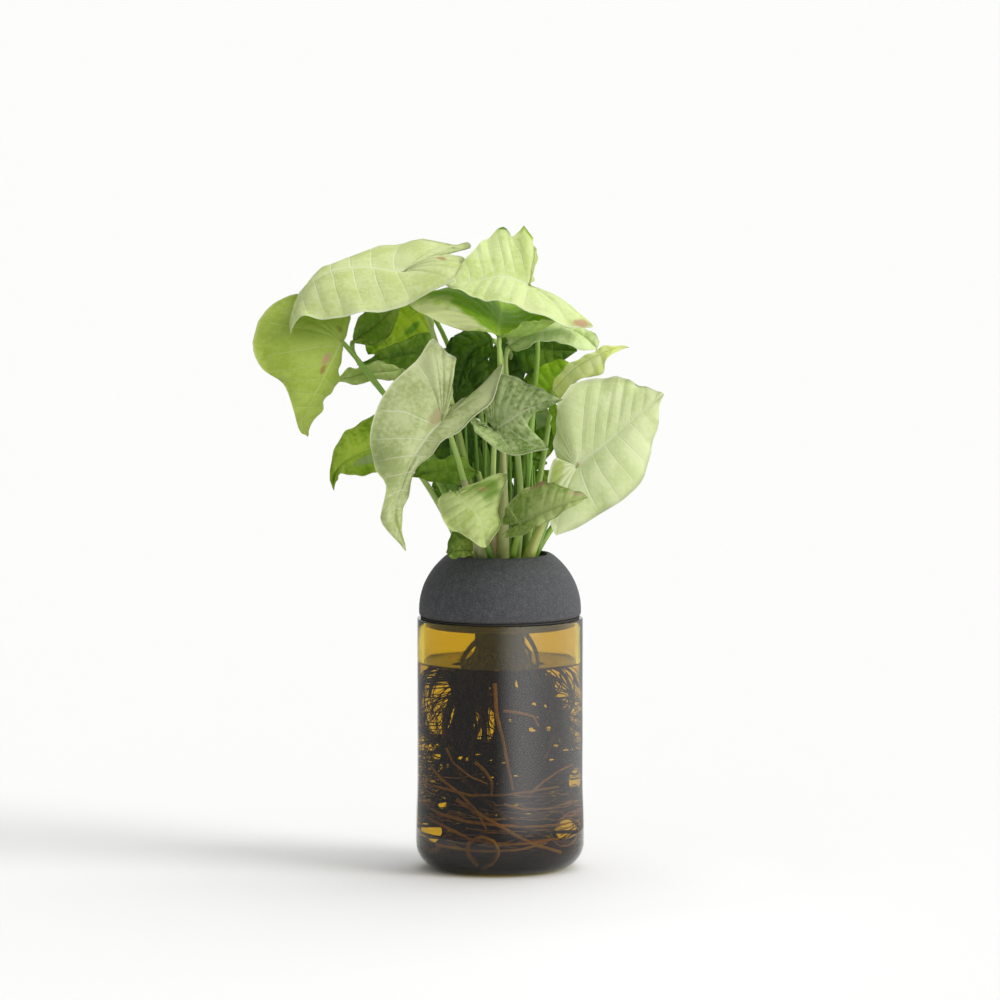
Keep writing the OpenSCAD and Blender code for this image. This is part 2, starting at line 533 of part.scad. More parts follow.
// Its point and the direction of its upper face. x runs along the midrib and w out from
// it, both on the flat leaf, and side is 0 for left and 1 for right
function ruled_point(l, axes, x, w, side) =
    let(length = crown_r * l[4],
        bend = l[7] * (x < 0 ? back_bend_share : 1),
        a = bend * x / length,
        grip = bend * PI / 180,
        along = length * sin(a) / grip,
        down = length * (1 - cos(a)) / grip,
        upward = axes[1] * cos(a) + axes[0] * sin(a),
        half = length * l[5][side],
        roll = leaf_curl * w / half,
        k = leaf_curl * PI / 180 / half,
        out = sin(roll) / k,
        lift = (1 - cos(roll)) / k,
        hand = side == 0 ? 1 : -1)
    [leaf_joint(l) + axes[0] * along - axes[1] * down + axes[2] * hand * out + upward * lift,
        upward * cos(roll) - axes[2] * hand * sin(roll)];
function ruled_station(l, axes, i, r, side) =
    let(length = crown_r * l[4],
        s = station_shares[i],
        x = s[0] * length + s[1] * length * l[6])
    ruled_point(l, axes, s[3] * length * (1 - r) + x * r, s[2] * length * l[5][side] * r, side);

// The same for both kinds: joint, frame, and a point with its facing at station i, drawn
// in to the midrib by row share r
function leaf_joint(l) = is_drawn(l) ? seen(l[0][0]) : [0, 0, ledge_z] + crown_r * l[0];
function leaf_kit(l) = is_drawn(l) ? drawn_kit(l) : ruled_axes(l);
function leaf_axes(l, kit) = is_drawn(l)
    ? [unit(kit[0][len(kit[0]) - 1] - kit[0][0]), unit(kit[3][0] + kit[3][1])]
    : kit;
function leaf_spot(l, kit, m, i, r, side) = is_drawn(l)
    ? drawn_point(l, kit, m, i, r, side)
    : ruled_station(l, kit, i, r, side);
function midrib_spot(l, kit, m, i) =
    let(left = leaf_spot(l, kit, m, i, 0, 0),
        right = leaf_spot(l, kit, m, i, 0, 1))
    [left[0], unit(left[1] + right[1])];

// Number of the point at station i and row j of a leaf with m lobe stations. The midrib's
// points come first
function leaf_index(m, side, i, j) =
    i == 0 ? 0
    : i == m + blade_steps ? blade_steps
    : j == 0 ? max(0, i - m)
    : blade_steps + 1 + (side * (m + blade_steps - 1) + i - 1) * leaf_rows + j - 1;
// The numbers along one side's margin, from the joint round the lobe to the tip
function leaf_margin(m, side) = concat(
    [0],
    [for (j = [1 : leaf_rows]) leaf_index(m, side, 1, j)],
    [for (i = [2 : m + blade_steps]) leaf_index(m, side, i, leaf_rows)]);
function whole(f) = f[0] != f[1] && f[1] != f[2] && f[0] != f[2];
function flipped(f, side) = side == 0 ? f : [f[0], f[2], f[1]];

module blade(l) {
    kit = leaf_kit(l);
    m = lobe_steps(l, kit);
    last = m + blade_steps;
    spots = concat(
        [for (i = [m : last]) midrib_spot(l, kit, m, i)],
        [for (side = [0, 1], i = [1 : last - 1], j = [1 : leaf_rows])
            leaf_spot(l, kit, m, i, j / leaf_rows, side)]);
    count = len(spots);
    top = [for (side = [0, 1], i = [1 : last - 1], j = [0 : leaf_rows - 1])
        let(a = leaf_index(m, side, i, j),
            b = leaf_index(m, side, i + 1, j),
            c = leaf_index(m, side, i + 1, j + 1),
            d = leaf_index(m, side, i, j + 1))
        for (f = [[a, c, b], [a, d, c]]) if (whole(f)) flipped(f, side)];
    under = [for (f = top) [f[0] + count, f[2] + count, f[1] + count]];
    rim = [for (side = [0, 1])
        let(edge = leaf_margin(m, side))
        for (k = [1 : len(edge) - 1], f = [[edge[k - 1], edge[k - 1] + count, edge[k] + count],
            [edge[k - 1], edge[k] + count, edge[k]]])
            flipped(f, side)];
    polyhedron(
        concat([for (s = spots) s[0] + s[1] * leaf_t / 2], [for (s = spots) s[0] - s[1] * leaf_t / 2]),
        concat(top, under, rim));
}

// The stalk rises from the plug, leans out through the mouth and meets the leaf from below
module stalk(l) {
    axes = leaf_axes(l, leaf_kit(l));
    place = is_drawn(l) ? l[4] : l[8];
    foot = [stem_room_r * place[0], stem_room_r * place[1], stem_z];
    tip = leaf_joint(l) - axes[1] * leaf_t / 4;
    span = norm(tip - foot);
    rise = unit([place[0] * stalk_lean_share, place[1] * stalk_lean_share, 1]);
    reach = unit(-axes[1] * stalk_end_shares[0] - axes[0] * stalk_end_shares[1]);
    p1 = foot + rise * span * stalk_rise_share;
    p2 = tip + reach * span * (is_drawn(l) ? l[5] : stalk_reach);
    shares = [for (i = [0 : stalk_rings - 1]) i / (stalk_rings - 1)];
    path = [for (u = shares) foot * pow(1 - u, 3) + p1 * 3 * u * pow(1 - u, 2)
        + p2 * 3 * u * u * (1 - u) + tip * pow(u, 3)];
    tube(path, [for (u = shares) (stalk_foot_d + (stalk_tip_d - stalk_foot_d) * u) / 2],
        [for (u = shares) stalk_side], stalk_sides);
}

module leaf(i) {
    l = leaf_table[i];
    color(i % 3 == 0 ? "palegreen" : i % 3 == 1 ? "yellowgreen" : "olivedrab")
        union() {
            blade(l);
            stalk(l);
        }
}

// A root goes out to its lane, falls to its level and swings round the jar
module root(i) {
    r = root_shares[i];
    lane = bore_r * r[2];
    level = floor_top + (cup_z - floor_top) * r[3];
    shares = [for (k = [0 : root_rings - 1]) k / (root_rings - 1)];
    turns = [for (u = shares)
        360 * r[0] / root_count + r[1] * smooth((u - root_swing_share) / (1 - root_swing_share))];
    path = [for (k = [0 : root_rings - 1])
        let(u = shares[k],
            sway = root_d * r[4] * sin(360 * root_waves * u) * smooth(u / root_exit_share),
            out = root_start_r + (lane - root_start_r) * smooth(u / root_exit_share) + sway,
            fall = smooth(u / root_fall_share))
        [out * cos(turns[k]), out * sin(turns[k]), root_z + (level - root_z) * fall + sway]];
    color([0.25, 0.18, 0.1])
        tube(path, [for (u = shares) (root_d + (root_tip_d - root_d) * u) / 2],
            [for (a = turns) [cos(a), sin(a), 1]], root_sides);
}

glass_jar();
rim_seal();
collar();
net_cup();
grow_plug();
for (i = [0 : leaf_count - 1])
    leaf(i);
for (i = [0 : root_count - 1])
    root(i);
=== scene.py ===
"""A bottle planter: amber glass jar, charcoal collar, net cup, and an arrow-leaved plant rooted in water."""
import math

import bpy
import numpy as np
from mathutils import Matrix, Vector


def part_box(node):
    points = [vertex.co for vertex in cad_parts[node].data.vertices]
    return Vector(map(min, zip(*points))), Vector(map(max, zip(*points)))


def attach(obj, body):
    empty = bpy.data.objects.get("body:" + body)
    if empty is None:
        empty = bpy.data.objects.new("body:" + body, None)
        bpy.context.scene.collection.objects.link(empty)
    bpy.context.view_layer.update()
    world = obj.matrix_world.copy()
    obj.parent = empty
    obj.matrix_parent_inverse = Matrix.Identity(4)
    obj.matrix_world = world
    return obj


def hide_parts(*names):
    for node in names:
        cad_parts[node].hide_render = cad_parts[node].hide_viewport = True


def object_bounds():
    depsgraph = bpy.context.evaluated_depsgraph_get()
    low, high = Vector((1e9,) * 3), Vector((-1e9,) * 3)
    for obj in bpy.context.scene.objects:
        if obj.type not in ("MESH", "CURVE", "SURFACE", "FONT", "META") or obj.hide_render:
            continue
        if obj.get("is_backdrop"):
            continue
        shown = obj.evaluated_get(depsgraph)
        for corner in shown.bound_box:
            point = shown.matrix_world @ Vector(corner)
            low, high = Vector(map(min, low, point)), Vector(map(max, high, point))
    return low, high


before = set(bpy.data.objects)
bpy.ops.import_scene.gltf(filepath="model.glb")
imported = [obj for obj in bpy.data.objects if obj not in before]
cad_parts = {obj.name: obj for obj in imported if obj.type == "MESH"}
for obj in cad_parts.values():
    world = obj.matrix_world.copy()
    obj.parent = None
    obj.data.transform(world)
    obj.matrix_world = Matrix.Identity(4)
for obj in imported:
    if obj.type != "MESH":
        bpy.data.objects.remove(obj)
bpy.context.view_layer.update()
MM = 0.001

# Camera and table. The planter stands on a plain white table and is seen from a little
# above, through a long lens, with soft light from the right and from behind.
VIEW_HEIGHT = 0.1673
VIEW_DISTANCE = 3.0
VIEW_RISE = math.radians(5.6)
VIEW_WIDTH = 0.4513
ROOM_LIGHT, ROOM_WHITE = 0.46, 0.97
ROOM_SHINE, ROOM_SHINE_LEAST = 0.8, 0.15
TABLE_REACH, TABLE_WHITE = 40.0, 0.79


class Wire:
    """A value in a node tree. Arithmetic on it adds Math nodes."""

    def __init__(self, paint, socket):
        self.paint, self.socket = paint, socket

    def math(self, operation, *values):
        return self.paint.add("ShaderNodeMath", {"operation": operation}, dict(enumerate(values)))

    def __add__(self, other):
        return self.math("ADD", self, other)

    __radd__ = __add__

    def __sub__(self, other):
        return self.math("SUBTRACT", self, other)

    def __rsub__(self, other):
        return self.math("SUBTRACT", other, self)

    def __mul__(self, other):
        return self.math("MULTIPLY", self, other)

    __rmul__ = __mul__

    def __truediv__(self, other):
        return self.math("DIVIDE", self, other)

    def __pow__(self, other):
        return self.math("POWER", self, other)

    def __abs__(self):
        return self.math("ABSOLUTE", self)

    def over(self, other):
        return self.math("MAXIMUM", self, other)

    def ease(self, low, high):
        """0 below low, 1 above high and smooth between. Falls where low is above high."""
        ends = {"Value": self, "From Min": min(low, high), "From Max": max(low, high),
                "To Min": float(low > high), "To Max": float(low < high)}
        return self.paint.add("ShaderNodeMapRange", {"interpolation_type": "SMOOTHSTEP"}, ends)


class Paint:
    """A material whose nodes come from add()."""

    def __init__(self, name, block=None):
        if block is None:
            block = bpy.data.materials.new(name)
        block.use_nodes = True
        self.block, self.tree = block, block.node_tree
        self.tree.nodes.clear()

    def add(self, kind, settings, sockets, output=0):
        node = self.tree.nodes.new(kind)
        for key, value in settings.items():
            if key == "stops":
                ramp = node.color_ramp
                while len(ramp.elements) < len(value):
                    ramp.elements.new(1)
                for element, (place, colour) in zip(ramp.elements, value):
                    element.position = place
                    element.color = (*colour, 1)
            else:
                setattr(node, key, value)
        for key, value in sockets.items():
            if isinstance(value, Wire):
                self.tree.links.new(value.socket, node.inputs[key])
            else:
                is_colour = node.inputs[key].type == "RGBA" and len(value) == 3
                node.inputs[key].default_value = (*value, 1) if is_colour else value
        return Wire(self, node.outputs[output])

    def mix(self, factor, a, b):
        return self.add("ShaderNodeMix", {"data_type": "RGBA"}, {0: factor, 6: a, 7: b}, 2)

    def place(self):
        return self.add("ShaderNodeTexCoord", {}, {}, "Object")

    def noise(self, scale, detail=2.0, where=None):
        sockets = {"Vector": where or self.place(), "Scale": scale, "Detail": detail}
        return self.add("ShaderNodeTexNoise", {}, sockets, "Fac")

    def bump(self, height, strength, distance):
        return self.add("ShaderNodeBump", {}, {"Height": height, "Strength": strength, "Distance": distance})

    def split(self, vector):
        """The three parts of a vector."""
        node = self.add("ShaderNodeSeparateXYZ", {}, {"Vector": vector}).socket.node
        return [Wire(self, node.outputs[axis]) for axis in "XYZ"]

    def show(self, shader, output="ShaderNodeOutputMaterial"):
        """Joins a shader to the output and gives back the finished material."""
        node = self.tree.nodes.new(output)
        self.tree.links.new(shader.socket, node.inputs["Surface"])
        return self.block

    def coat(self, sockets):
        """A finished material with one surface shader."""
        return self.show(self.add("ShaderNodeBsdfPrincipled", {}, sockets))


def link(thing):
    bpy.context.scene.collection.objects.link(thing)
    return thing


camera = link(bpy.data.objects.new("camera", bpy.data.cameras.new("camera")))
camera.location = (
    0, -VIEW_DISTANCE * math.cos(VIEW_RISE), VIEW_HEIGHT + VIEW_DISTANCE * math.sin(VIEW_RISE))
camera.rotation_euler = (math.pi / 2 - VIEW_RISE, 0, 0)
camera.data.angle = 2 * math.atan(VIEW_WIDTH / 2 / VIEW_DISTANCE)
camera.data.clip_end = 50
bpy.context.scene.camera = camera
bpy.context.scene.view_settings.view_transform = "Standard"


def daylight(name, come_from, softness, strength, colour):
    light = link(bpy.data.objects.new(name, bpy.data.lights.new(name, "SUN")))
    light.data.angle = math.radians(softness)
    light.data.energy = strength
    light.data.color = colour
    light.rotation_euler = Vector(come_from).to_track_quat("Z", "Y").to_euler()
    light.visible_glossy = False


daylight("window_light", come_from=(1.0, -0.42, 0.62), softness=30, strength=2.05, colour=(1, 0.99, 0.97))
daylight("top_light", come_from=(0.25, 0.35, 1.0), softness=60, strength=1.6, colour=(1, 1, 1))

world = bpy.data.worlds.new("room")
bpy.context.scene.world = world
room = Paint("room", world)
rays = {kind: room.add("ShaderNodeLightPath", {}, {}, f"Is {kind} Ray")
        for kind in ("Camera", "Glossy", "Transmission")}
seen_plain = rays["Camera"].over(rays["Transmission"])
to_right, to_back, _ = room.split(room.add("ShaderNodeTexCoord", {}, {}, "Generated"))
mirrored = to_back.ease(-0.1, 0.3).over(to_right.ease(-0.8, 0.5) * ROOM_SHINE + ROOM_SHINE_LEAST)


def backdrop(strength):
    return room.add("ShaderNodeBackground", {}, {"Color": (1, 1, 1), "Strength": strength})


lit = room.add("ShaderNodeMixShader", {}, {0: rays["Glossy"], 1: backdrop(ROOM_LIGHT), 2: backdrop(mirrored)})
room.show(room.add("ShaderNodeMixShader", {}, {0: seen_plain, 1: lit, 2: backdrop(ROOM_WHITE)}),
          "ShaderNodeOutputWorld")

table_mesh = bpy.data.meshes.new("table_top")
corners = [(x * TABLE_REACH, y * TABLE_REACH, 0) for x, y in ((-1, -1), (1, -1), (1, 1), (-1, 1))]
table_mesh.from_pydata(corners, [], [(0, 1, 2, 3)])
table_top = link(bpy.data.objects.new("table_top", table_mesh))
cloth = Paint("table_white")
table_mesh.materials.append(cloth.coat({
    "Base Color": (TABLE_WHITE, TABLE_WHITE, TABLE_WHITE), "Roughness": 0.9, "Specular IOR Level": 0.2}))
table_top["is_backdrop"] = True

# Window sheen. A curved sheet round the front, dim on the left and bright on the right. It is
# seen only in what shines, and gives the glass its pale veil.
SHEEN_R, SHEEN_FOOT, SHEEN_TOP = 0.14, 0.0005, 0.45
SHEEN_EVEN, SHEEN_BRIGHT = 0.45, 2.6
bow = [math.radians(turn) for turn in range(-235, 62, 4)]
sheen_mesh = bpy.data.meshes.new("window_sheen")
sheen_mesh.from_pydata(
    [(SHEEN_R * math.cos(t), SHEEN_R * math.sin(t), z) for t in bow for z in (SHEEN_FOOT, SHEEN_TOP)], [],
    [(2 * k, 2 * k + 1, 2 * k + 3, 2 * k + 2) for k in range(len(bow) - 1)])
sheen = link(bpy.data.objects.new("window_sheen", sheen_mesh))
glare = Paint("window_glare")
right, behind, upward = glare.split(glare.place())
right, behind = right / SHEEN_R, behind / SHEEN_R
part_lit = right.ease(-0.15, 0.45) * (1 - right.ease(0.5, 1.0) * 0.45) * behind.ease(0.95, 0.0)
shine = part_lit * upward.ease(-0.008, 0.03) * SHEEN_BRIGHT + SHEEN_EVEN
sheen_mesh.materials.append(glare.show(glare.add(
    "ShaderNodeEmission", {}, {"Color": (1, 1, 1), "Strength": shine})))
for way in ("camera", "diffuse", "transmission", "volume_scatter", "shadow"):
    setattr(sheen, "visible_" + way, False)
sheen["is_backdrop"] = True

# Jar. The foot of a bottle in amber glass, cut off and ground at the rim. It is blown in
# a mould, so its wall is a little wavy inside, and the band above the heel is proud.
JAR_WALL_R, JAR_BORE_R, JAR_BAND_R = 37.5, 34.7, 38.1
JAR_H, JAR_HEEL_R, JAR_RIM_R, JAR_SLOPE_Z, JAR_SLOPE_H = 114.0, 12.0, 0.6, 18.0, 24.0
JAR_FOOT_R, JAR_PUSH_UP, JAR_BASE = 23.1, 3.0, 4.0
JAR_INNER_HEEL_R = JAR_HEEL_R - 1.2
BORE_MARGIN, WET_SLACK, BASE_SLACK = 4, 0.1, 0.5
# Heights in metres over which glass and water turn a dim dark tone towards the table: painted shade at the
# foot
FOOT_SHADE_START_Z, FOOT_SHADE_FULL_Z = 0.010, 0.002
AMBER = (0.72, 0.54, 0.02)
GLASS_BEND, WATER_BEND = 1.5, 1.33
WATER_TOP = 93.0
ROUND_SEGMENTS = 192


def arc(centre, radius, start, stop, steps, tall=None):
    """Points (r, z) on an arc, in millimetres, with angles in degrees. An oval has its own height."""
    turns = np.radians(np.linspace(start, stop, steps + 1))
    return [(centre[0] + radius * math.cos(t), centre[1] + (tall or radius) * math.sin(t)) for t in turns]


def cap(radius, z, rise, steps):
    """Points from the edge of a shallow dome to its middle."""
    big = (radius * radius + rise * rise) / (2 * rise)
    return [(x, z + rise - big + math.sqrt(big * big - x * x)) for x in np.linspace(radius, 0, steps + 1)]


def revolve(name, outline, closed=True):
    """A round piece from (r, z) points in millimetres that run with the solid on their left."""
    rows, points, first = [], [], 0
    for r, z in outline:
        if r < 1e-6:
            points.append((0, 0, z * MM))
            rows.append([first] * ROUND_SEGMENTS)
            first += 1
        else:
            turns = [2 * math.pi * k / ROUND_SEGMENTS for k in range(ROUND_SEGMENTS)]
            points += [(r * MM * math.cos(t), r * MM * math.sin(t), z * MM) for t in turns]
            rows.append(list(range(first, first + ROUND_SEGMENTS)))
            first += ROUND_SEGMENTS
    faces = []
    pairs = list(zip(rows, rows[1:])) + ([(rows[-1], rows[0])] if closed else [])
    for low, high in pairs:
        for k in range(ROUND_SEGMENTS):
            ahead = (k + 1) % ROUND_SEGMENTS
            ring = list(dict.fromkeys([low[k], low[ahead], high[ahead], high[k]]))
            if len(ring) > 2:
                faces.append(ring)
    mesh = bpy.data.meshes.new(name)
    mesh.from_pydata(points, [], faces)
    mesh.polygons.foreach_set("use_smooth", [True] * len(mesh.polygons))
    return link(bpy.data.objects.new(name, mesh))


def smooth(x):
    t = np.clip(x, 0, 1)
    return t * t * (3 - 2 * t)


jar_outside = cap(JAR_FOOT_R, 0, JAR_PUSH_UP, 12)[::-1]
jar_outside += arc((JAR_BAND_R - JAR_HEEL_R, JAR_HEEL_R), JAR_HEEL_R, -90, 0, 18)
jar_outside += [(JAR_BAND_R + (JAR_WALL_R - JAR_BAND_R) * smooth(s), JAR_SLOPE_Z + JAR_SLOPE_H * s)
                for s in np.linspace(0, 1, 17)]
jar_outside += arc((JAR_WALL_R - JAR_RIM_R, JAR_H - JAR_RIM_R), JAR_RIM_R, 0, 90, 5)
jar_floor_r = JAR_BORE_R - JAR_INNER_HEEL_R
jar_inside = arc((JAR_BORE_R + JAR_RIM_R, JAR_H - JAR_RIM_R), JAR_RIM_R, 90, 180, 5)
jar_inside += [(JAR_BORE_R, z)
               for z in np.linspace(JAR_H - BORE_MARGIN, JAR_BASE + JAR_INNER_HEEL_R + BORE_MARGIN, 24)]
jar_inside += arc((jar_floor_r, JAR_BASE + JAR_INNER_HEEL_R), JAR_INNER_HEEL_R, 0, -90, 14)
jar_inside += cap(jar_floor_r, JAR_BASE, JAR_PUSH_UP, 10)[1:]
jar = revolve("jar", jar_outside + jar_inside, closed=False)


def see_through(name, colour, bend, relief=None):
    """Clear stuff that lets light through to what stands inside, tinted by its colour and darkened near the
    table as painted shade.
    """
    paint = Paint(name)
    height = paint.split(paint.place())[2]
    # From the first height down to the second the tint turns a dim dark tone: painted shade at the foot of
    # the glass and water
    tint_and_foot_shade = paint.mix(height.ease(FOOT_SHADE_START_Z, FOOT_SHADE_FULL_Z), colour, [c * 0.06 + 0.05 for c in colour])
    surface = {"Base Color": tint_and_foot_shade, "Roughness": 0.0, "IOR": bend, "Transmission Weight": 1.0}
    if relief:
        surface["Normal"] = relief(paint)
    body = paint.add("ShaderNodeBsdfPrincipled", {}, surface)
    passing = paint.add("ShaderNodeBsdfTransparent", {}, {"Color": [0.5 * c ** 0.5 + 0.25 for c in colour]})
    shade = paint.add("ShaderNodeLightPath", {}, {}, "Is Shadow Ray")
    return paint.show(paint.add("ShaderNodeMixShader", {}, {0: shade, 1: body, 2: passing}))


def mould_waves(paint):
    """The slight waves that the mould leaves in the wall."""
    return paint.bump(paint.noise(22, 1.0), 0.12, 0.01)


jar.data.materials.append(see_through("amber_glass", AMBER, GLASS_BEND, mould_waves))
jar.data.materials.append(see_through("wet_glass", AMBER, GLASS_BEND / WATER_BEND))
for face in jar.data.polygons:
    height = face.center.z / MM
    turned_in = face.normal.x * face.center.x + face.normal.y * face.center.y < 0
    within = math.hypot(face.center.x, face.center.y) / MM < JAR_BORE_R + WET_SLACK
    face.material_index = int(within and (turned_in or height > JAR_BASE - BASE_SLACK) and height < WATER_TOP)
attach(jar, "jar")
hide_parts("glass_jar")

# Water. It fills the jar to just above the foot of the cup and wets the glass, so it
# climbs a little at the wall.
WET = -0.02
MENISCUS, MENISCUS_REACH = 1.6, 0.9
MENISCUS_STEPS, WATER_FLAT_R = (0.3, 0.7, 1.2, 2, 3, 5), 15
water_bed = JAR_BASE + JAR_INNER_HEEL_R
water_outline = cap(jar_floor_r, JAR_BASE - WET, JAR_PUSH_UP, 10)[::-1]
water_outline += arc((jar_floor_r, water_bed), JAR_INNER_HEEL_R + WET, -90, 0, 14)[1:]
water_outline += [(JAR_BORE_R + WET, z) for z in np.linspace(water_bed + BORE_MARGIN, WATER_TOP, 12)]
water_outline += [(JAR_BORE_R + WET, WATER_TOP + MENISCUS)]
water_outline += [(JAR_BORE_R - d, WATER_TOP + MENISCUS * math.exp(-d / MENISCUS_REACH))
                  for d in MENISCUS_STEPS]
water_outline += [(WATER_FLAT_R, WATER_TOP), (0, WATER_TOP)]
water = revolve("water", water_outline, closed=False)
water.data.materials.append(see_through("clear_water", (0.98, 0.97, 0.93), WATER_BEND))
water.data.materials.append(see_through("water_on_glass", (0.99, 0.99, 0.97), 1.0))
for face in water.data.polygons:
    face.material_index = int(face.normal.z < 0.3)
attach(water, "jar")

# Seal. A thin black rubber ring, L-shaped in section, that lies on the cut rim and lines
# its inside. It only shows as a dark line under the collar.
rubber = Paint("black_rubber")
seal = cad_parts["rim_seal"]
seal.data.materials.clear()
seal.data.materials.append(rubber.coat({
    "Base Color": rubber.mix(rubber.noise(900), (0.010, 0.010, 0.011), (0.022, 0.022, 0.023)),
    "Roughness": 0.7}))

# Collar. A hollow dome moulded in charcoal plastic with a fine grain. Its lip is smooth
# where it was parted from the mould, and a ledge inside the mouth carries the cup.
COLLAR_R, COLLAR_WALL, COLLAR_Z, COLLAR_TOP = 36.6, 2.4, 114.9, 143.1
BELT_Z, EDGE_R, LIP_R, LIP_ROUND = 117.9, 1.6, 23.2, 0.6
MOUTH_R, LEDGE_R, LEDGE_Z, LEDGE_T = 21.3, 20.2, 139.9, 1.5
SPIGOT_R, SPIGOT_BORE_R, SPIGOT_Z, SPIGOT_CHAMFER = 33.3, 31.5, 110.2, 0.3
LIP_EDGE = ((0.25, 0.35), (-0.1, 0.1), (-0.55, 0))
dome_end = math.degrees(math.acos(LIP_R / COLLAR_R))
dome_h = (COLLAR_TOP - BELT_Z) / math.sin(math.radians(dome_end))
shelf_z = LEDGE_Z - LEDGE_T
inner_a, inner_b = COLLAR_R - COLLAR_WALL, dome_h - COLLAR_WALL
inner_end = math.degrees(math.asin((shelf_z - BELT_Z) / inner_b))
collar_outline = [(SPIGOT_BORE_R, SPIGOT_Z), (SPIGOT_R - SPIGOT_CHAMFER, SPIGOT_Z)]
collar_outline += [(SPIGOT_R, SPIGOT_Z + SPIGOT_CHAMFER), (SPIGOT_R, COLLAR_Z)]
collar_outline += arc((COLLAR_R - EDGE_R, COLLAR_Z + EDGE_R), EDGE_R, -90, 0, 8)
collar_outline += arc((0, BELT_Z), COLLAR_R, 0, dome_end, 40, dome_h)[1:-2]
collar_outline += [(LIP_R + out, COLLAR_TOP - down) for out, down in LIP_EDGE]
collar_outline += arc((MOUTH_R + LIP_ROUND, COLLAR_TOP - LIP_ROUND), LIP_ROUND, 90, 180, 5)
collar_outline += [(MOUTH_R, LEDGE_Z), (LEDGE_R, LEDGE_Z), (LEDGE_R, shelf_z)]
collar_outline += arc((0, BELT_Z), inner_a, inner_end, 0, 24, inner_b)
collar_outline += [(SPIGOT_BORE_R, BELT_Z - (inner_a - SPIGOT_BORE_R))]
collar = revolve("dome_collar", collar_outline)
collar.data.set_sharp_from_angle(angle=math.radians(40))
charcoal = Paint("charcoal_plastic")
grain = charcoal.noise(1500, 3.0)
mottle = charcoal.noise(420, 2.0)
charcoal_tone = charcoal.add("ShaderNodeValToRGB", {"stops": [
    (0.30, (0.044, 0.045, 0.049)), (0.50, (0.066, 0.067, 0.072)), (0.66, (0.104, 0.105, 0.110))]},
    {"Fac": grain * 0.7 + mottle * 0.3})
collar.data.materials.append(charcoal.coat({
    "Base Color": charcoal_tone, "Roughness": mottle.ease(0.3, 0.7) * 0.12 + 0.55,
    "Specular IOR Level": 0.12, "Normal": charcoal.bump(grain + mottle, 0.35, 0.0004)}))
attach(collar, "collar")
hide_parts("collar")

# Net cup. A black funnel on a narrow column, moulded in one piece and slotted at the
# foot. Only its rim shows in the mouth, and its column shows through the glass.
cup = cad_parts["net_cup"]
black = Paint("black_plastic")
cup.data.materials.clear()
cup.data.materials.append(black.coat({
    "Base Color": black.mix(black.noise(300), (0.006, 0.006, 0.007), (0.013, 0.013, 0.013)),
    "Roughness": black.noise(120) * 0.2 + 0.5, "Specular IOR Level": 0.04}))

# Grow plug. Dark open foam, cast to the shape of the cup. It is pushed in round the stalks
# and grips them, and it draws water up to them.
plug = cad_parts["grow_plug"]
foam = Paint("dark_foam")
cells = foam.add("ShaderNodeTexVoronoi", {"feature": "F1"}, {"Vector": foam.place(), "Scale": 700})
plug.data.materials.clear()
plug.data.materials.append(foam.coat({
    "Base Color": foam.mix(cells.ease(0.2, 0.8), (0.030, 0.018, 0.010), (0.090, 0.055, 0.030)),
    "Roughness": 0.95, "Normal": foam.bump(cells, 0.8, 0.001)}))

# Main roots. Ten thick roots leave the foot of the cup by its slots, fall through the
# water and swing round the jar. Each row gives the slot, the swing in degrees, the lane
# as a share of the bore, the level of the end and the sway.
ROOT_ROWS = [
    (6, 250, 0.92, 0.07, 0.20), (9, -230, 0.83, 0.11, 0.20), (2, 210, 0.74, 0.17, 0.20),
    (7, -180, 0.65, 0.26, 0.20), (4, 160, 0.56, 0.38, 0.20), (5, -20, 0.46, 0.20, 0.40),
    (8, 25, 0.46, 0.46, 0.40), (0, -20, 0.46, 0.14, 0.40), (3, -25, 0.46, 0.30, 0.40),
    (1, 15, 0.46, 0.52, 0.40)]
ROOT_D, ROOT_TIP_D = 2.2, 1.2
ROOT_END, ROOT_BLUNT = 0.97, 0.6
CUP_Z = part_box("net_cup")[0].z / MM
ROOT_START_R, ROOT_START_Z = 10.85, CUP_Z + 4
ROOT_EXIT, ROOT_FALL, ROOT_SWING = 0.3, 0.62, 0.2
FLOOR_TOP = JAR_BASE + JAR_PUSH_UP
ROOT_STEPS, ROOT_SIDES = 110, 10


def root_path(row, steps):
    """Points of a main root, in millimetres, and how far along it each lies."""
    slot, swing, lane, level, sway = row
    u = np.linspace(0, 1, steps)
    turn = np.radians(360 * slot / len(ROOT_ROWS) + swing * smooth((u - ROOT_SWING) / (1 - ROOT_SWING)))
    wave = ROOT_D * sway * np.sin(6 * math.pi * u) * smooth(u / ROOT_EXIT)
    out = ROOT_START_R + (JAR_BORE_R * lane - ROOT_START_R) * smooth(u / ROOT_EXIT) + wave
    end = FLOOR_TOP + (CUP_Z - FLOOR_TOP) * level
    z = ROOT_START_Z + (end - ROOT_START_Z) * smooth(u / ROOT_FALL) + wave
    return np.stack([out * np.cos(turn), out * np.sin(turn), z], 1), u


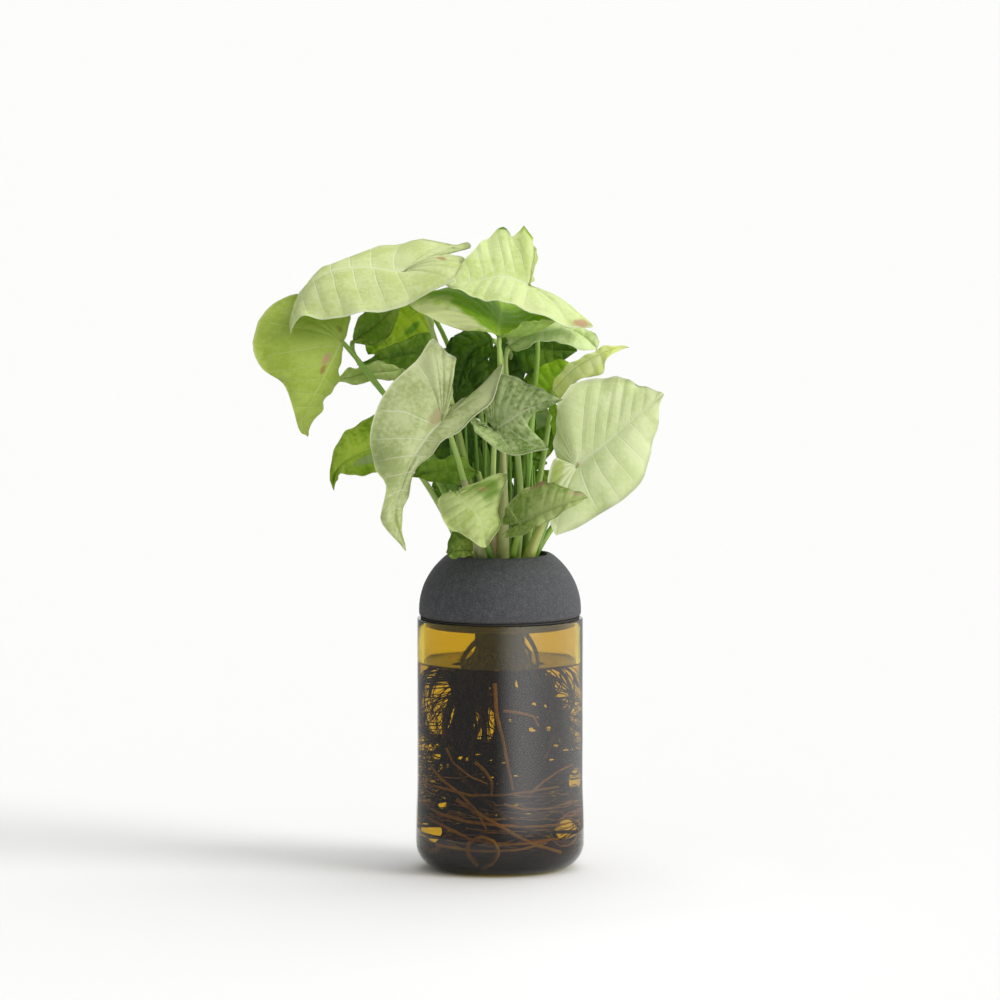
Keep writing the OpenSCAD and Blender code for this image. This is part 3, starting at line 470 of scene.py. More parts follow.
def tubes(name, strands, sides, material):
    """One piece of tubes with closed ends, each (points, radii) in millimetres."""
    verts, faces = [], []
    for points, radii in strands:
        points = np.asarray(points, float)
        ahead = np.gradient(points, axis=0)
        ahead /= np.linalg.norm(ahead, axis=1)[:, None]
        side = np.cross(ahead[0], (0.31, 0.77, 0.55))
        base = len(verts)
        for point, way, radius in zip(points, ahead, radii):
            side = side - way * side.dot(way)
            side /= np.linalg.norm(side)
            other = np.cross(way, side)
            for k in range(sides):
                t = 2 * math.pi * k / sides
                verts.append((point + radius * (math.cos(t) * side + math.sin(t) * other)) * MM)
        for i in range(len(points) - 1):
            for k in range(sides):
                a, b = base + i * sides + k, base + i * sides + (k + 1) % sides
                faces.append((a, b, b + sides, a + sides))
        faces.append(tuple(base + k for k in reversed(range(sides))))
        end = base + (len(points) - 1) * sides
        faces.append(tuple(end + k for k in range(sides)))
    mesh = bpy.data.meshes.new(name)
    mesh.from_pydata([tuple(v) for v in verts], [], faces)
    mesh.polygons.foreach_set("use_smooth", [True] * len(mesh.polygons))
    mesh.materials.append(material)
    return link(bpy.data.objects.new(name, mesh))


def root_colour(name, tones, fibre_size=700, fibre_share=0.3, pale_from=0.78, relief=(0.5, 0.0004)):
    """Root skin in three tones, dark to pale, that change in patches and in fine fibres."""
    paint = Paint(name)
    patch = paint.noise(60, 4.0)
    fibre = paint.noise(fibre_size, 3.0)
    tone = paint.add("ShaderNodeValToRGB", {"stops": list(zip((0.25, 0.5, pale_from), tones))},
                     {"Fac": patch * (1 - fibre_share) + fibre * fibre_share})
    return paint.coat({"Base Color": tone, "Roughness": fibre * 0.3 + 0.6, "Specular IOR Level": 0.0,
                       "Normal": paint.bump(fibre, *relief)})


root_skin = root_colour("root_skin", ((0.012, 0.008, 0.006), (0.035, 0.021, 0.012), (0.10, 0.058, 0.028)),
                        fibre_size=500, fibre_share=0.4, pale_from=0.75, relief=(0.6, 0.0006))
for number, row in enumerate(ROOT_ROWS, 1):
    points, u = root_path(row, ROOT_STEPS)
    knots = 1 + 0.10 * np.sin(u * 90 + number) + 0.08 * np.sin(u * 37 + 2 * number)
    radii = (ROOT_D + (ROOT_TIP_D - ROOT_D) * u) / 2 * knots * np.where(u > ROOT_END, ROOT_BLUNT, 1)
    main_root = tubes(f"main_root_{number:02d}", [(points, radii)], ROOT_SIDES, root_skin)
    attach(main_root, "plant")
    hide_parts(f"root_{number:02d}")

# Fine roots. The thick ones branch into hundreds of thin ones, which leave the cup in a
# skirt, mat together in the water and press against the glass. They are closest at the
# foot and on the right, and leave gaps that the light comes through.
VIEW_MM, VIEW_MIDDLE, VIEW_BASE = 0.4513, 500, 868


def seen(points):
    """Places in the view turned to millimetres."""
    across, down, back = np.asarray(points, float).T[:3]
    near = VIEW_MM * (1 + back / (VIEW_DISTANCE / MM))
    x = (across - VIEW_MIDDLE) * near
    z = ((VIEW_BASE - down) * near - math.sin(VIEW_RISE) * back) / math.cos(VIEW_RISE)
    return np.stack([x, back, z], 1)


# Gaps as they show on the front of the jar: place in the view, in thousandths of its width,
# then half width and half height in millimetres. The first two are the large ones.
ROOT_GAPS = [
    (436, 706, 9.5, 16.5), (484, 722, 6.2, 11.5), (430, 835, 6.5, 8.0), (567, 833, 6.5, 6.5),
    (577, 784, 4.0, 7.0), (441, 806, 3.4, 4.8), (519, 682, 3.2, 3.6), (538, 684, 2.0, 2.6),
    (463, 757, 5.0, 2.2), (444, 766, 3.6, 2.0), (487, 757, 2.8, 2.2), (518, 806, 5.5, 1.8),
    (470, 798, 4.0, 1.8), (533, 728, 3.6, 2.4), (551, 760, 3.6, 1.9), (498, 782, 3.6, 1.8),
    (545, 745, 2.6, 1.8), (462, 780, 3.6, 1.6), (506, 745, 2.0, 1.4), (450, 788, 2.4, 1.4),
    (556, 815, 4.0, 2.0), (528, 700, 2.2, 1.6)]
LARGE_GAPS, SMALL_GAPS = 2, 40
GLASS_FRONT = -32
VIEW_DIP = 0.0735
CUP_LIFT = 45
# Room that a root leaves, in millimetres: under the collar, at the wall, over the floor,
# below the spigot, and beside a gap at the side of the jar
ROOT_SLACK, ROOT_ROOM, BED_ROOM, SPIGOT_ROOM, SIDE_ROOM = 1.2, 0.8, 0.7, 1, 3
GAP_EASE, GAP_LEAST = (0.85, 1.1), 0.3


def sight(across, down):
    """Where a line of sight enters the water, its slope across, and its height there."""
    x, _, z = seen([(across, down, GLASS_FRONT)])[0]
    spot, way = np.array([x, -math.sqrt(JAR_WALL_R ** 2 - x * x)]), np.array([0.0, 1.0])
    for radius, ratio in ((JAR_WALL_R, 1 / GLASS_BEND), (JAR_BORE_R, GLASS_BEND / WATER_BEND)):
        along = spot @ way
        spot = spot - way * (along + math.sqrt(max(along * along - spot @ spot + radius * radius, 0)))
        face = spot / radius
        dip = -(face @ way)
        way = ratio * way + (ratio * dip - math.sqrt(1 - ratio * ratio * (1 - dip * dip))) * face
    return spot[0], spot[1], way[0] / way[1], z


dice = np.random.default_rng(23)
for _ in range(SMALL_GAPS):
    spot = dice.choice([dice.uniform(428, 520), dice.uniform(500, 568)])
    ROOT_GAPS.append((spot, dice.uniform(752, 815) if spot < 510 else dice.uniform(695, 812),
                      dice.uniform(2.0, 4.2), dice.uniform(1.2, 2.0)))
SIGHTS = []
for across, down, wide, high in ROOT_GAPS:
    hand = 1 if across < VIEW_MIDDLE else -1
    SIGHTS.append((sight(across, down), sight(across + hand * wide / VIEW_MM, down), wide, high))


def root_limit(z):
    """How far out a root can lie at a height, inside the heel and, once lifted, the collar."""
    rise = np.clip(JAR_INNER_HEEL_R - (z - JAR_BASE), 0, JAR_INNER_HEEL_R)
    jar_limit = jar_floor_r + np.sqrt(JAR_INNER_HEEL_R ** 2 - rise ** 2) - ROOT_ROOM
    lifted = z + CUP_LIFT + ROOT_ROOM
    dome_limit = inner_a * np.sqrt(1 - np.clip((lifted - BELT_Z) / inner_b, 0, 0.99) ** 2)
    collar_limit = np.where(lifted < BELT_Z, SPIGOT_BORE_R, np.where(lifted < shelf_z, dome_limit, LEDGE_R))
    collar_limit = np.where(lifted < SPIGOT_Z - SPIGOT_ROOM, JAR_BORE_R, collar_limit - ROOT_SLACK)
    return np.minimum(jar_limit, collar_limit)


def part_roots(points, crosses):
    """Moves a root round the gaps, along the way that light takes through the water. A root
    that crosses keeps its way through the large ones."""
    x, y, z = np.array(points).T
    ease = dice.uniform(*GAP_EASE)
    for number, (middle, edge, wide, high) in enumerate(SIGHTS):
        if number < LARGE_GAPS and crosses:
            continue
        line = middle[0] + middle[2] * (y - middle[1])
        half = np.maximum(abs(edge[0] + edge[2] * (y - edge[1]) - line), wide * GAP_LEAST) * ease
        high = high * ease
        dx = (x - line) / half
        dz = (z - middle[3] + VIEW_DIP * (y - middle[1])) / high
        within = (np.hypot(dx, dz) < 1) & (z < WATER_TOP)
        if not within.any():
            continue
        if np.ptp(dx[within]) * half.mean() > np.ptp(dz[within]) * high:
            hand = 1 if dz[within].mean() > 0 else -1
            z = z + within * (hand * np.sqrt(1 - np.clip(dx * dx, 0, 1)) - dz) * high
        else:
            hand = 1 if dx[within].mean() > 0 else -1
            if abs(line[within].mean() + hand * half[within].mean()) > JAR_BORE_R - SIDE_ROOM:
                hand = -hand
            x = x + within * (hand * np.sqrt(1 - np.clip(dz * dz, 0, 1)) - dx) * half
    out = np.hypot(x, y)
    pull = np.minimum(1, (root_limit(z) - ROOT_SLACK) / np.maximum(out, 1e-6))
    x, y = x * pull, y * pull
    bed_z = JAR_BASE + JAR_PUSH_UP * np.clip(1 - (x * x + y * y) / jar_floor_r ** 2, 0, 1) + BED_ROOM
    return np.stack([x, y, np.maximum(z, bed_z)], 1)


def swirl(start, end, sweep, sway, steps):
    """A root from one (angle, radius, height) to another, with a slow sway."""
    u = np.linspace(0, 1, steps)
    a, b, c, d = dice.uniform(0, 2 * math.pi, 4)
    turn = np.radians(start[0] + sweep * u) + 0.10 * np.sin(5 * u + a)
    out = start[1] + (end[0] - start[1]) * smooth(u * 1.4) + sway * np.sin(7 * u + b) * u
    z = start[2] + (end[1] - start[2]) * u + sway * (np.sin(6 * u + c) + 0.5 * np.sin(13 * u + d)) * u
    return np.stack([out * np.cos(turn), out * np.sin(turn), z], 1)


def node_tree(name, inputs):
    """A Geometry Nodes tree with named inputs: the tree, the inputs' keys, and ways to go on."""
    tree = bpy.data.node_groups.new(name, "GeometryNodeTree")
    tree.interface.new_socket("Geometry", in_out="INPUT", socket_type="NodeSocketGeometry")
    keys = {}
    for label, (kind, value) in inputs.items():
        socket = tree.interface.new_socket(label, in_out="INPUT", socket_type=f"NodeSocket{kind}")
        if value is not None:
            socket.default_value = value
        keys[label] = socket.identifier
    tree.interface.new_socket("Geometry", in_out="OUTPUT", socket_type="NodeSocketGeometry")
    source = tree.nodes.new("NodeGroupInput")

    def add(kind, settings, sockets, output=0):
        node = tree.nodes.new(kind)
        for key, value in settings.items():
            setattr(node, key, value)
        for key, value in sockets.items():
            if isinstance(value, bpy.types.NodeSocket):
                tree.links.new(value, node.inputs[key])
            else:
                node.inputs[key].default_value = value
        return node.outputs[output]

    def finish(geometry):
        last = tree.nodes.new("NodeGroupOutput")
        solid = add("GeometryNodeRealizeInstances", {}, {"Geometry": geometry})
        coated = add("GeometryNodeSetMaterial", {}, {
            "Geometry": solid, "Material": source.outputs["Material"]})
        tree.links.new(coated, last.inputs[0])

    return tree, keys, source.outputs, add, finish


def grown(name, carrier, tree, keys, values):
    """Runs a tree on its carrier and keeps the result as a plain mesh."""
    growth = carrier.modifiers.new("growth", "NODES")
    growth.node_group = tree
    for label, value in values.items():
        growth[keys[label]] = value
    shapes = bpy.context.evaluated_depsgraph_get()
    mesh = bpy.data.meshes.new_from_object(carrier.evaluated_get(shapes))
    mesh.name = name
    carrier.modifiers.remove(growth)
    piece = link(bpy.data.objects.new(name, mesh))
    mesh.polygons.foreach_set("use_smooth", [True] * len(mesh.polygons))
    return piece


# Strands: each guide is cut to even steps, shaken by a noise and given a round section
strand_tree, strand_keys, given, node, close = node_tree("root_strands", {
    "Step": ("Float", 0.003), "Shake": ("Float", 0.002), "Shake size": ("Float", 60.0),
    "Sides": ("Int", 4), "Material": ("Material", None)})
even = node("GeometryNodeResampleCurve", {"mode": "LENGTH"}, {
    "Curve": given["Geometry"], "Length": given["Step"]})
drift = node("ShaderNodeTexNoise", {"noise_dimensions": "3D"}, {
    "Scale": given["Shake size"], "Detail": 2.0}, 1)
centred = node("ShaderNodeVectorMath", {"operation": "SUBTRACT"}, {0: drift, 1: (0.5, 0.5, 0.5)})
shaken = node("ShaderNodeVectorMath", {"operation": "SCALE"}, {0: centred, "Scale": given["Shake"]})
moved = node("GeometryNodeSetPosition", {}, {"Geometry": even, "Offset": shaken})
section = node("GeometryNodeCurvePrimitiveCircle", {"mode": "RADIUS"}, {
    "Resolution": given["Sides"], "Radius": 1.0})
close(node("GeometryNodeCurveToMesh", {}, {
    "Curve": moved, "Profile Curve": section, "Fill Caps": True,
    "Scale": node("GeometryNodeInputRadius", {}, {})}))


def strands(name, guides, material, step, shake, size, sides):
    """Tubes along the guides, each (points, radii) in millimetres."""
    wires = bpy.data.curves.new(name + "_guides", "CURVE")
    wires.dimensions = "3D"
    for points, radii in guides:
        wire = wires.splines.new("POLY")
        wire.points.add(len(points) - 1)
        places = np.hstack([np.asarray(points) * MM, np.ones((len(points), 1))])
        wire.points.foreach_set("co", places.ravel())
        wire.points.foreach_set("radius", np.asarray(radii) * MM)
    carrier = link(bpy.data.objects.new(name + "_guides", wires))
    piece = grown(name, carrier, strand_tree, strand_keys, {
        "Step": step * MM, "Shake": shake * MM, "Shake size": size, "Sides": sides, "Material": material})
    bpy.data.objects.remove(carrier)
    return piece


# The first skin is a near-black copy of the roots' brown: painted shade for the roots inside the mat and in
# the sprays and hairs against the light. The second is the brown of the roots that lie at the front.
shaded_root = root_colour("shaded_root", ((0.004, 0.003, 0.003), (0.012, 0.008, 0.006), (0.055, 0.034, 0.022)))
brown_root = root_colour("brown_root", ((0.06, 0.036, 0.023), (0.19, 0.118, 0.072), (0.38, 0.24, 0.145)))
SKIRT, MASS, MASS_CORE, BED, BED_CORE = 280, 760, 150, 520, 90
SKIRT_STEPS, MASS_STEPS, BED_STEPS = 26, 40, 70
CUP_FOOT_R, WALL_R = 11.4, 33.8


def taper(radius, count, end=0.4):
    return radius * np.linspace(1, end, count)


skirt = []
for _ in range(SKIRT):
    start = (dice.uniform(0, 360), CUP_FOOT_R, dice.uniform(91, 99))
    end = (dice.uniform(14, 26), dice.uniform(52, 84))
    path = swirl(start, end, dice.uniform(-50, 50), 1.2, SKIRT_STEPS)
    skirt.append((part_roots(path, dice.random() < 0.08), taper(dice.uniform(0.25, 0.65), SKIRT_STEPS)))
mass = []
for number in range(MASS):
    core = number < MASS_CORE
    way = dice.choice([dice.uniform(0, 360), dice.uniform(-110, 60)])
    start = (way, dice.uniform(4, 14) if core else dice.uniform(8, 26), dice.uniform(45, 88))
    end = (dice.uniform(6, 22) if core else dice.uniform(22, WALL_R), dice.uniform(12, 74))
    path = swirl(start, end, dice.uniform(-120, 120), 2.4, MASS_STEPS)
    girth = dice.uniform(0.5, 1.1) if core else dice.uniform(0.14, 0.45)
    mass.append((part_roots(path, not core and dice.random() < 0.04), taper(girth, MASS_STEPS)))
bed = []
for number in range(BED):
    core = number < BED_CORE
    low = 5 + 50 * dice.random() ** 1.5
    start = (dice.uniform(0, 360), dice.uniform(4, 24) if core else dice.uniform(14, WALL_R), low)
    end = (dice.uniform(6, 24) if core else dice.uniform(24, WALL_R), low + dice.uniform(-9, 7))
    path = swirl(start, end, dice.choice([-1, 1]) * dice.uniform(60, 260), 1.3, BED_STEPS)
    girth = dice.uniform(0.5, 1.0) if core else dice.uniform(0.16, 0.5)
    bed.append((part_roots(path, not core and dice.random() < 0.05), taper(girth, BED_STEPS)))
for name, guides in (("root_skirt", skirt), ("root_core", mass[:MASS // 2]), ("root_mass", mass[MASS // 2:]),
                     ("root_bed_inside", bed[:BED // 2]), ("root_bed", bed[BED // 2:])):
    piece = strands(name, guides, shaded_root, step=1.3, shake=0.8, size=110, sides=3)
    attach(piece, "plant")

# Roots that lie against the glass in front, as they show: place in the view, and radius
FRONT_ROOTS = [
    ([(493, 680), (496, 705), (502, 732), (508, 760), (513, 786)], 0.75),
    ([(474, 758), (484, 766), (492, 778), (491, 792)], 0.7),
    ([(455, 796), (472, 806), (492, 818), (515, 832), (540, 843), (562, 850)], 0.8),
    ([(476, 860), (466, 850), (468, 839), (481, 833), (494, 838), (499, 849), (492, 859), (480, 862)], 0.9),
    ([(420, 780), (445, 786), (470, 792), (500, 791), (530, 788), (560, 783)], 0.6),
    ([(418, 800), (440, 812), (468, 818), (500, 822), (532, 824), (566, 822)], 0.7),
    ([(425, 815), (448, 826), (470, 836), (500, 841), (530, 840), (560, 836)], 0.6),
    ([(435, 842), (460, 846), (490, 848), (520, 846), (548, 840)], 0.6),
    ([(504, 706), (520, 708), (535, 712), (541, 722)], 0.6),
    ([(530, 790), (545, 778), (560, 768), (574, 762)], 0.5),
    ([(445, 745), (452, 760), (470, 772), (488, 780)], 0.5),
    ([(505, 800), (525, 806), (548, 806), (572, 800)], 0.55),
    ([(430, 765), (442, 778), (458, 790), (476, 806), (486, 826)], 0.6)]
THIN_FRONT, THIN_STEPS = 110, 40
BEND_IN, EDGE_ROOM, FLOOR_ROOM = 0.93, 0.5, 1.2
FRONT_INSET, INSET_STEP, FRONT_R = 1.0, 0.25, (31, 33)
FRONT_GIRTH, FRONT_TAPER = 1.25, 0.35


def on_glass(places, inset):
    """Places in the view put on a cylinder just inside the front of the glass."""
    places = np.asarray(places, float)
    x = (places[:, 0] - VIEW_MIDDLE) * VIEW_MM * BEND_IN
    r = JAR_BORE_R - inset
    x = np.clip(x, -r + EDGE_ROOM, r - EDGE_ROOM)
    y = -np.sqrt(r * r - x * x)
    z = np.maximum(seen(np.stack([places[:, 0], places[:, 1], y], 1))[:, 2], JAR_BASE + FLOOR_ROOM)
    pull = np.minimum(1, root_limit(z) / r)
    return np.stack([x * pull, y * pull, z], 1)


def evenly(path, count):
    """The same line with another count of points."""
    u = np.linspace(0, len(path) - 1, count)
    return np.stack([np.interp(u, range(len(path)), axis) for axis in path.T], 1)


front = []
for number, (places, radius) in enumerate(FRONT_ROOTS):
    path = on_glass(places, FRONT_INSET + INSET_STEP * (number % 3))
    path = evenly(path, len(path) * 4)
    front.append((path, FRONT_GIRTH * radius * (1 - FRONT_TAPER * np.linspace(0, 1, len(path)))))
for _ in range(THIN_FRONT):
    low = dice.uniform(14, 44)
    start = (dice.uniform(0, 360), dice.uniform(*FRONT_R), low)
    end = (dice.uniform(*FRONT_R), low + dice.uniform(-9, 5))
    path = swirl(start, end, dice.uniform(25, 90), 0.9, THIN_STEPS)
    front.append((part_roots(path, False), taper(dice.uniform(0.13, 0.36), THIN_STEPS, 0.6)))
front_roots = strands("front_roots", front, brown_root, step=1.6, shake=1.4, size=70, sides=6)
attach(front_roots, "plant")

# Two sprays of thick roots leave the cup above the water and reach the glass: place in the
# view, millimetres back, and radius
SPRAYS = [
    ([(482, 637, -3), (470, 649, -5), (461, 661, -7), (448, 669, -9), (436, 680, -11), (428, 696, -13)], 1.3),
    ([(480, 642, 3), (467, 654, 4), (460, 662, 4), (446, 671, 4), (436, 684, 2), (430, 702, 0)], 1.0),
    ([(484, 640, -8), (474, 655, -14), (462, 668, -18), (458, 690, -20), (460, 712, -21)], 0.9),
    ([(526, 634, -3), (534, 646, -5), (540, 660, -6), (552, 669, -8), (562, 682, -9), (567, 700, -9)], 1.1),
    ([(529, 640, 4), (536, 652, 6), (541, 661, 7), (552, 674, 8), (558, 688, 8)], 0.8),
    ([(521, 640, -9), (530, 652, -12), (536, 661, -14), (544, 674, -17), (550, 690, -19)], 0.8),
    ([(481, 648, -14), (470, 668, -24), (461, 690, -30), (459, 722, -31), (454, 748, -30), (450, 772, -30)],
     1.15),
    ([(486, 650, -14), (478, 668, -24), (473, 692, -31), (475, 722, -32), (472, 748, -32), (478, 776, -32)],
     1.0)]
SPRAY_STEPS, LOOSE_ROOTS, LOOSE_SPREAD = 16, 7, 2.6


def kept_in(path, clearance=0.0):
    """A line drawn in to where roots have room."""
    pull = np.minimum(1, (root_limit(path[:, 2]) - clearance) / np.hypot(path[:, 0], path[:, 1]))
    return path * np.stack([pull, pull, np.ones(len(path))], 1)


spray = []
for places, radius in SPRAYS:
    path = kept_in(evenly(seen(places), SPRAY_STEPS), radius)
    spray.append((path, taper(radius, SPRAY_STEPS, 0.6)))
    for _ in range(LOOSE_ROOTS):
        first = dice.integers(0, 9)
        loose = path[first:] + np.outer(
            np.linspace(0, 1, SPRAY_STEPS - first), dice.normal(0, LOOSE_SPREAD, 3))
        spray.append((part_roots(loose, dice.random() < 0.2), taper(dice.uniform(0.14, 0.4), len(loose))))

# Branching hairs seen against the light: first place and spread, then way down and spread
HAIRS = [((456, 688), (3, 12), (-26, 30), (10, 16), 20), ((424, 678), (6, 8), (8, 46), (14, 14), 12),
         ((474, 702), (3, 10), (16, 22), (9, 13), 13), ((436, 744), (12, 5), (0, -30), (12, 10), 6),
         ((430, 852), (8, 3), (2, -20), (12, 6), 6), ((574, 828), (3, 8), (-18, 6), (4, 8), 6)]
HAIR_STEPS, TWIG_FROM = 14, 5
for first, loose, way, bend, count in HAIRS:
    for _ in range(count):
        start = np.array(first) + dice.uniform(-1, 1, 2) * loose
        stop = start + np.array(way) + dice.uniform(-1, 1, 2) * bend
        sag = dice.normal(0, 5, 2)
        u = np.linspace(0, 1, HAIR_STEPS)[:, None]
        flow = start * (1 - u) + stop * u + sag * u * (1 - u) * 4
        flow[:, 0] = np.clip(flow[:, 0], 419, 580)
        hair = on_glass(flow, dice.uniform(1.5, 5))
        spray.append((hair, taper(dice.uniform(0.16, 0.36), HAIR_STEPS, 0.35)))
        steps = HAIR_STEPS - TWIG_FROM
        twig = kept_in(hair[TWIG_FROM:] + np.outer(np.linspace(0, 1, steps), dice.normal(0, LOOSE_SPREAD, 3)))
        spray.append((twig, taper(dice.uniform(0.14, 0.24), steps, 0.4)))
sprays = strands("root_sprays", spray, shaded_root, step=1.8, shake=1.6, size=90, sides=5)
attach(sprays, "plant")

# Leaves. Each is a soft arrow-shaped blade on a stalk that rises from the plug. The
# blades that show are laid out one by one: places along the midrib and both margins, in
# thousandths of the view's width from its top left corner, and millimetres back.
LEAF_T = 0.4
STEM_ROOM_R, STEM_Z, STEM_LEAN = 12.7, 130.05, 0.365
LOBE_STEPS, BLADE_STEPS, BANDS = 24, 24, 8
LAST = LOBE_STEPS + BLADE_STEPS
VEINS, VEIN_SLANT = 15, 0.035
QUILT, LUMPS, MIDRIB_DEPTH = 0.30, 0.8, 0.5
QUILT_SIZE = 60
SMALL_BULGE, REACH = (0.1, 0.1), 0.15
STALK_R, STALK_FOOT, STALK_NECK, NECK_AT, NECK_LONG = 0.95, 0.75, 0.25, 0.97, 0.03


def curve(points, t):
    """Smooth curve through the points. t counts points and need not be whole."""
    points = np.asarray(points, float)
    i = np.clip(np.floor(t).astype(int), 0, len(points) - 2)
    f = (t - i)[:, None]
    a, b = points[np.clip(i - 1, 0, None)], points[i]
    c, d = points[i + 1], points[np.clip(i + 2, None, len(points) - 1)]
    return b + 0.5 * f * (c - a + f * (2 * a - 5 * b + 4 * c - d + f * (3 * (b - c) + d - a)))


def unit(v):
    return v / np.linalg.norm(v, axis=-1, keepdims=True)


class DrawnLeaf:
    """A blade from its midrib, its left and right margins and how far each half bulges."""

    def __init__(self, mid, left, right, bulge, foot, reach=REACH):
        self.mids = seen(mid)
        self.joint, self.tip = self.mids[0], self.mids[-1]
        self.bulge, self.foot, self.reach = bulge, foot, reach
        self.margins, self.shares, self.normals = [], [], []
        ahead = self.tip - self.joint
        for side, rows in enumerate((left, right)):
            points = np.vstack([self.joint, seen(rows), self.tip])
            shares = [0.0] + [row[3] for row in rows] + [1.0]
            self.margins.append(points)
            self.shares.append(shares)
            out = points.mean(0) - self.joint
            self.normals.append(unit(np.cross(ahead, out) if side == 0 else np.cross(out, ahead)))
        self.up = unit(self.normals[0] + self.normals[1])
        self.ahead = unit(ahead)
        self.length = np.linalg.norm(ahead)

    def middle(self, i):
        q = np.clip((i - LOBE_STEPS) / BLADE_STEPS, 0, 1)
        return curve(self.mids, q * (len(self.mids) - 1))

    def spot(self, i, r, side):
        q = np.clip((i - LOBE_STEPS) / BLADE_STEPS, 0, 1)
        shares = self.shares[side]
        start = max(k for k, s in enumerate(shares) if s == 0)
        lobe = start * np.clip(i / LOBE_STEPS, 0, 1)
        t = np.where(q > 0, np.interp(q, shares[start:], range(start, len(shares))), lobe)
        edge, mid = curve(self.margins[side], t), self.middle(i)
        wide = np.linalg.norm(edge - mid, axis=1)[:, None]
        return mid + (edge - mid) * r + self.normals[side] * self.bulge[side] * wide * 4 * r * (1 - r)


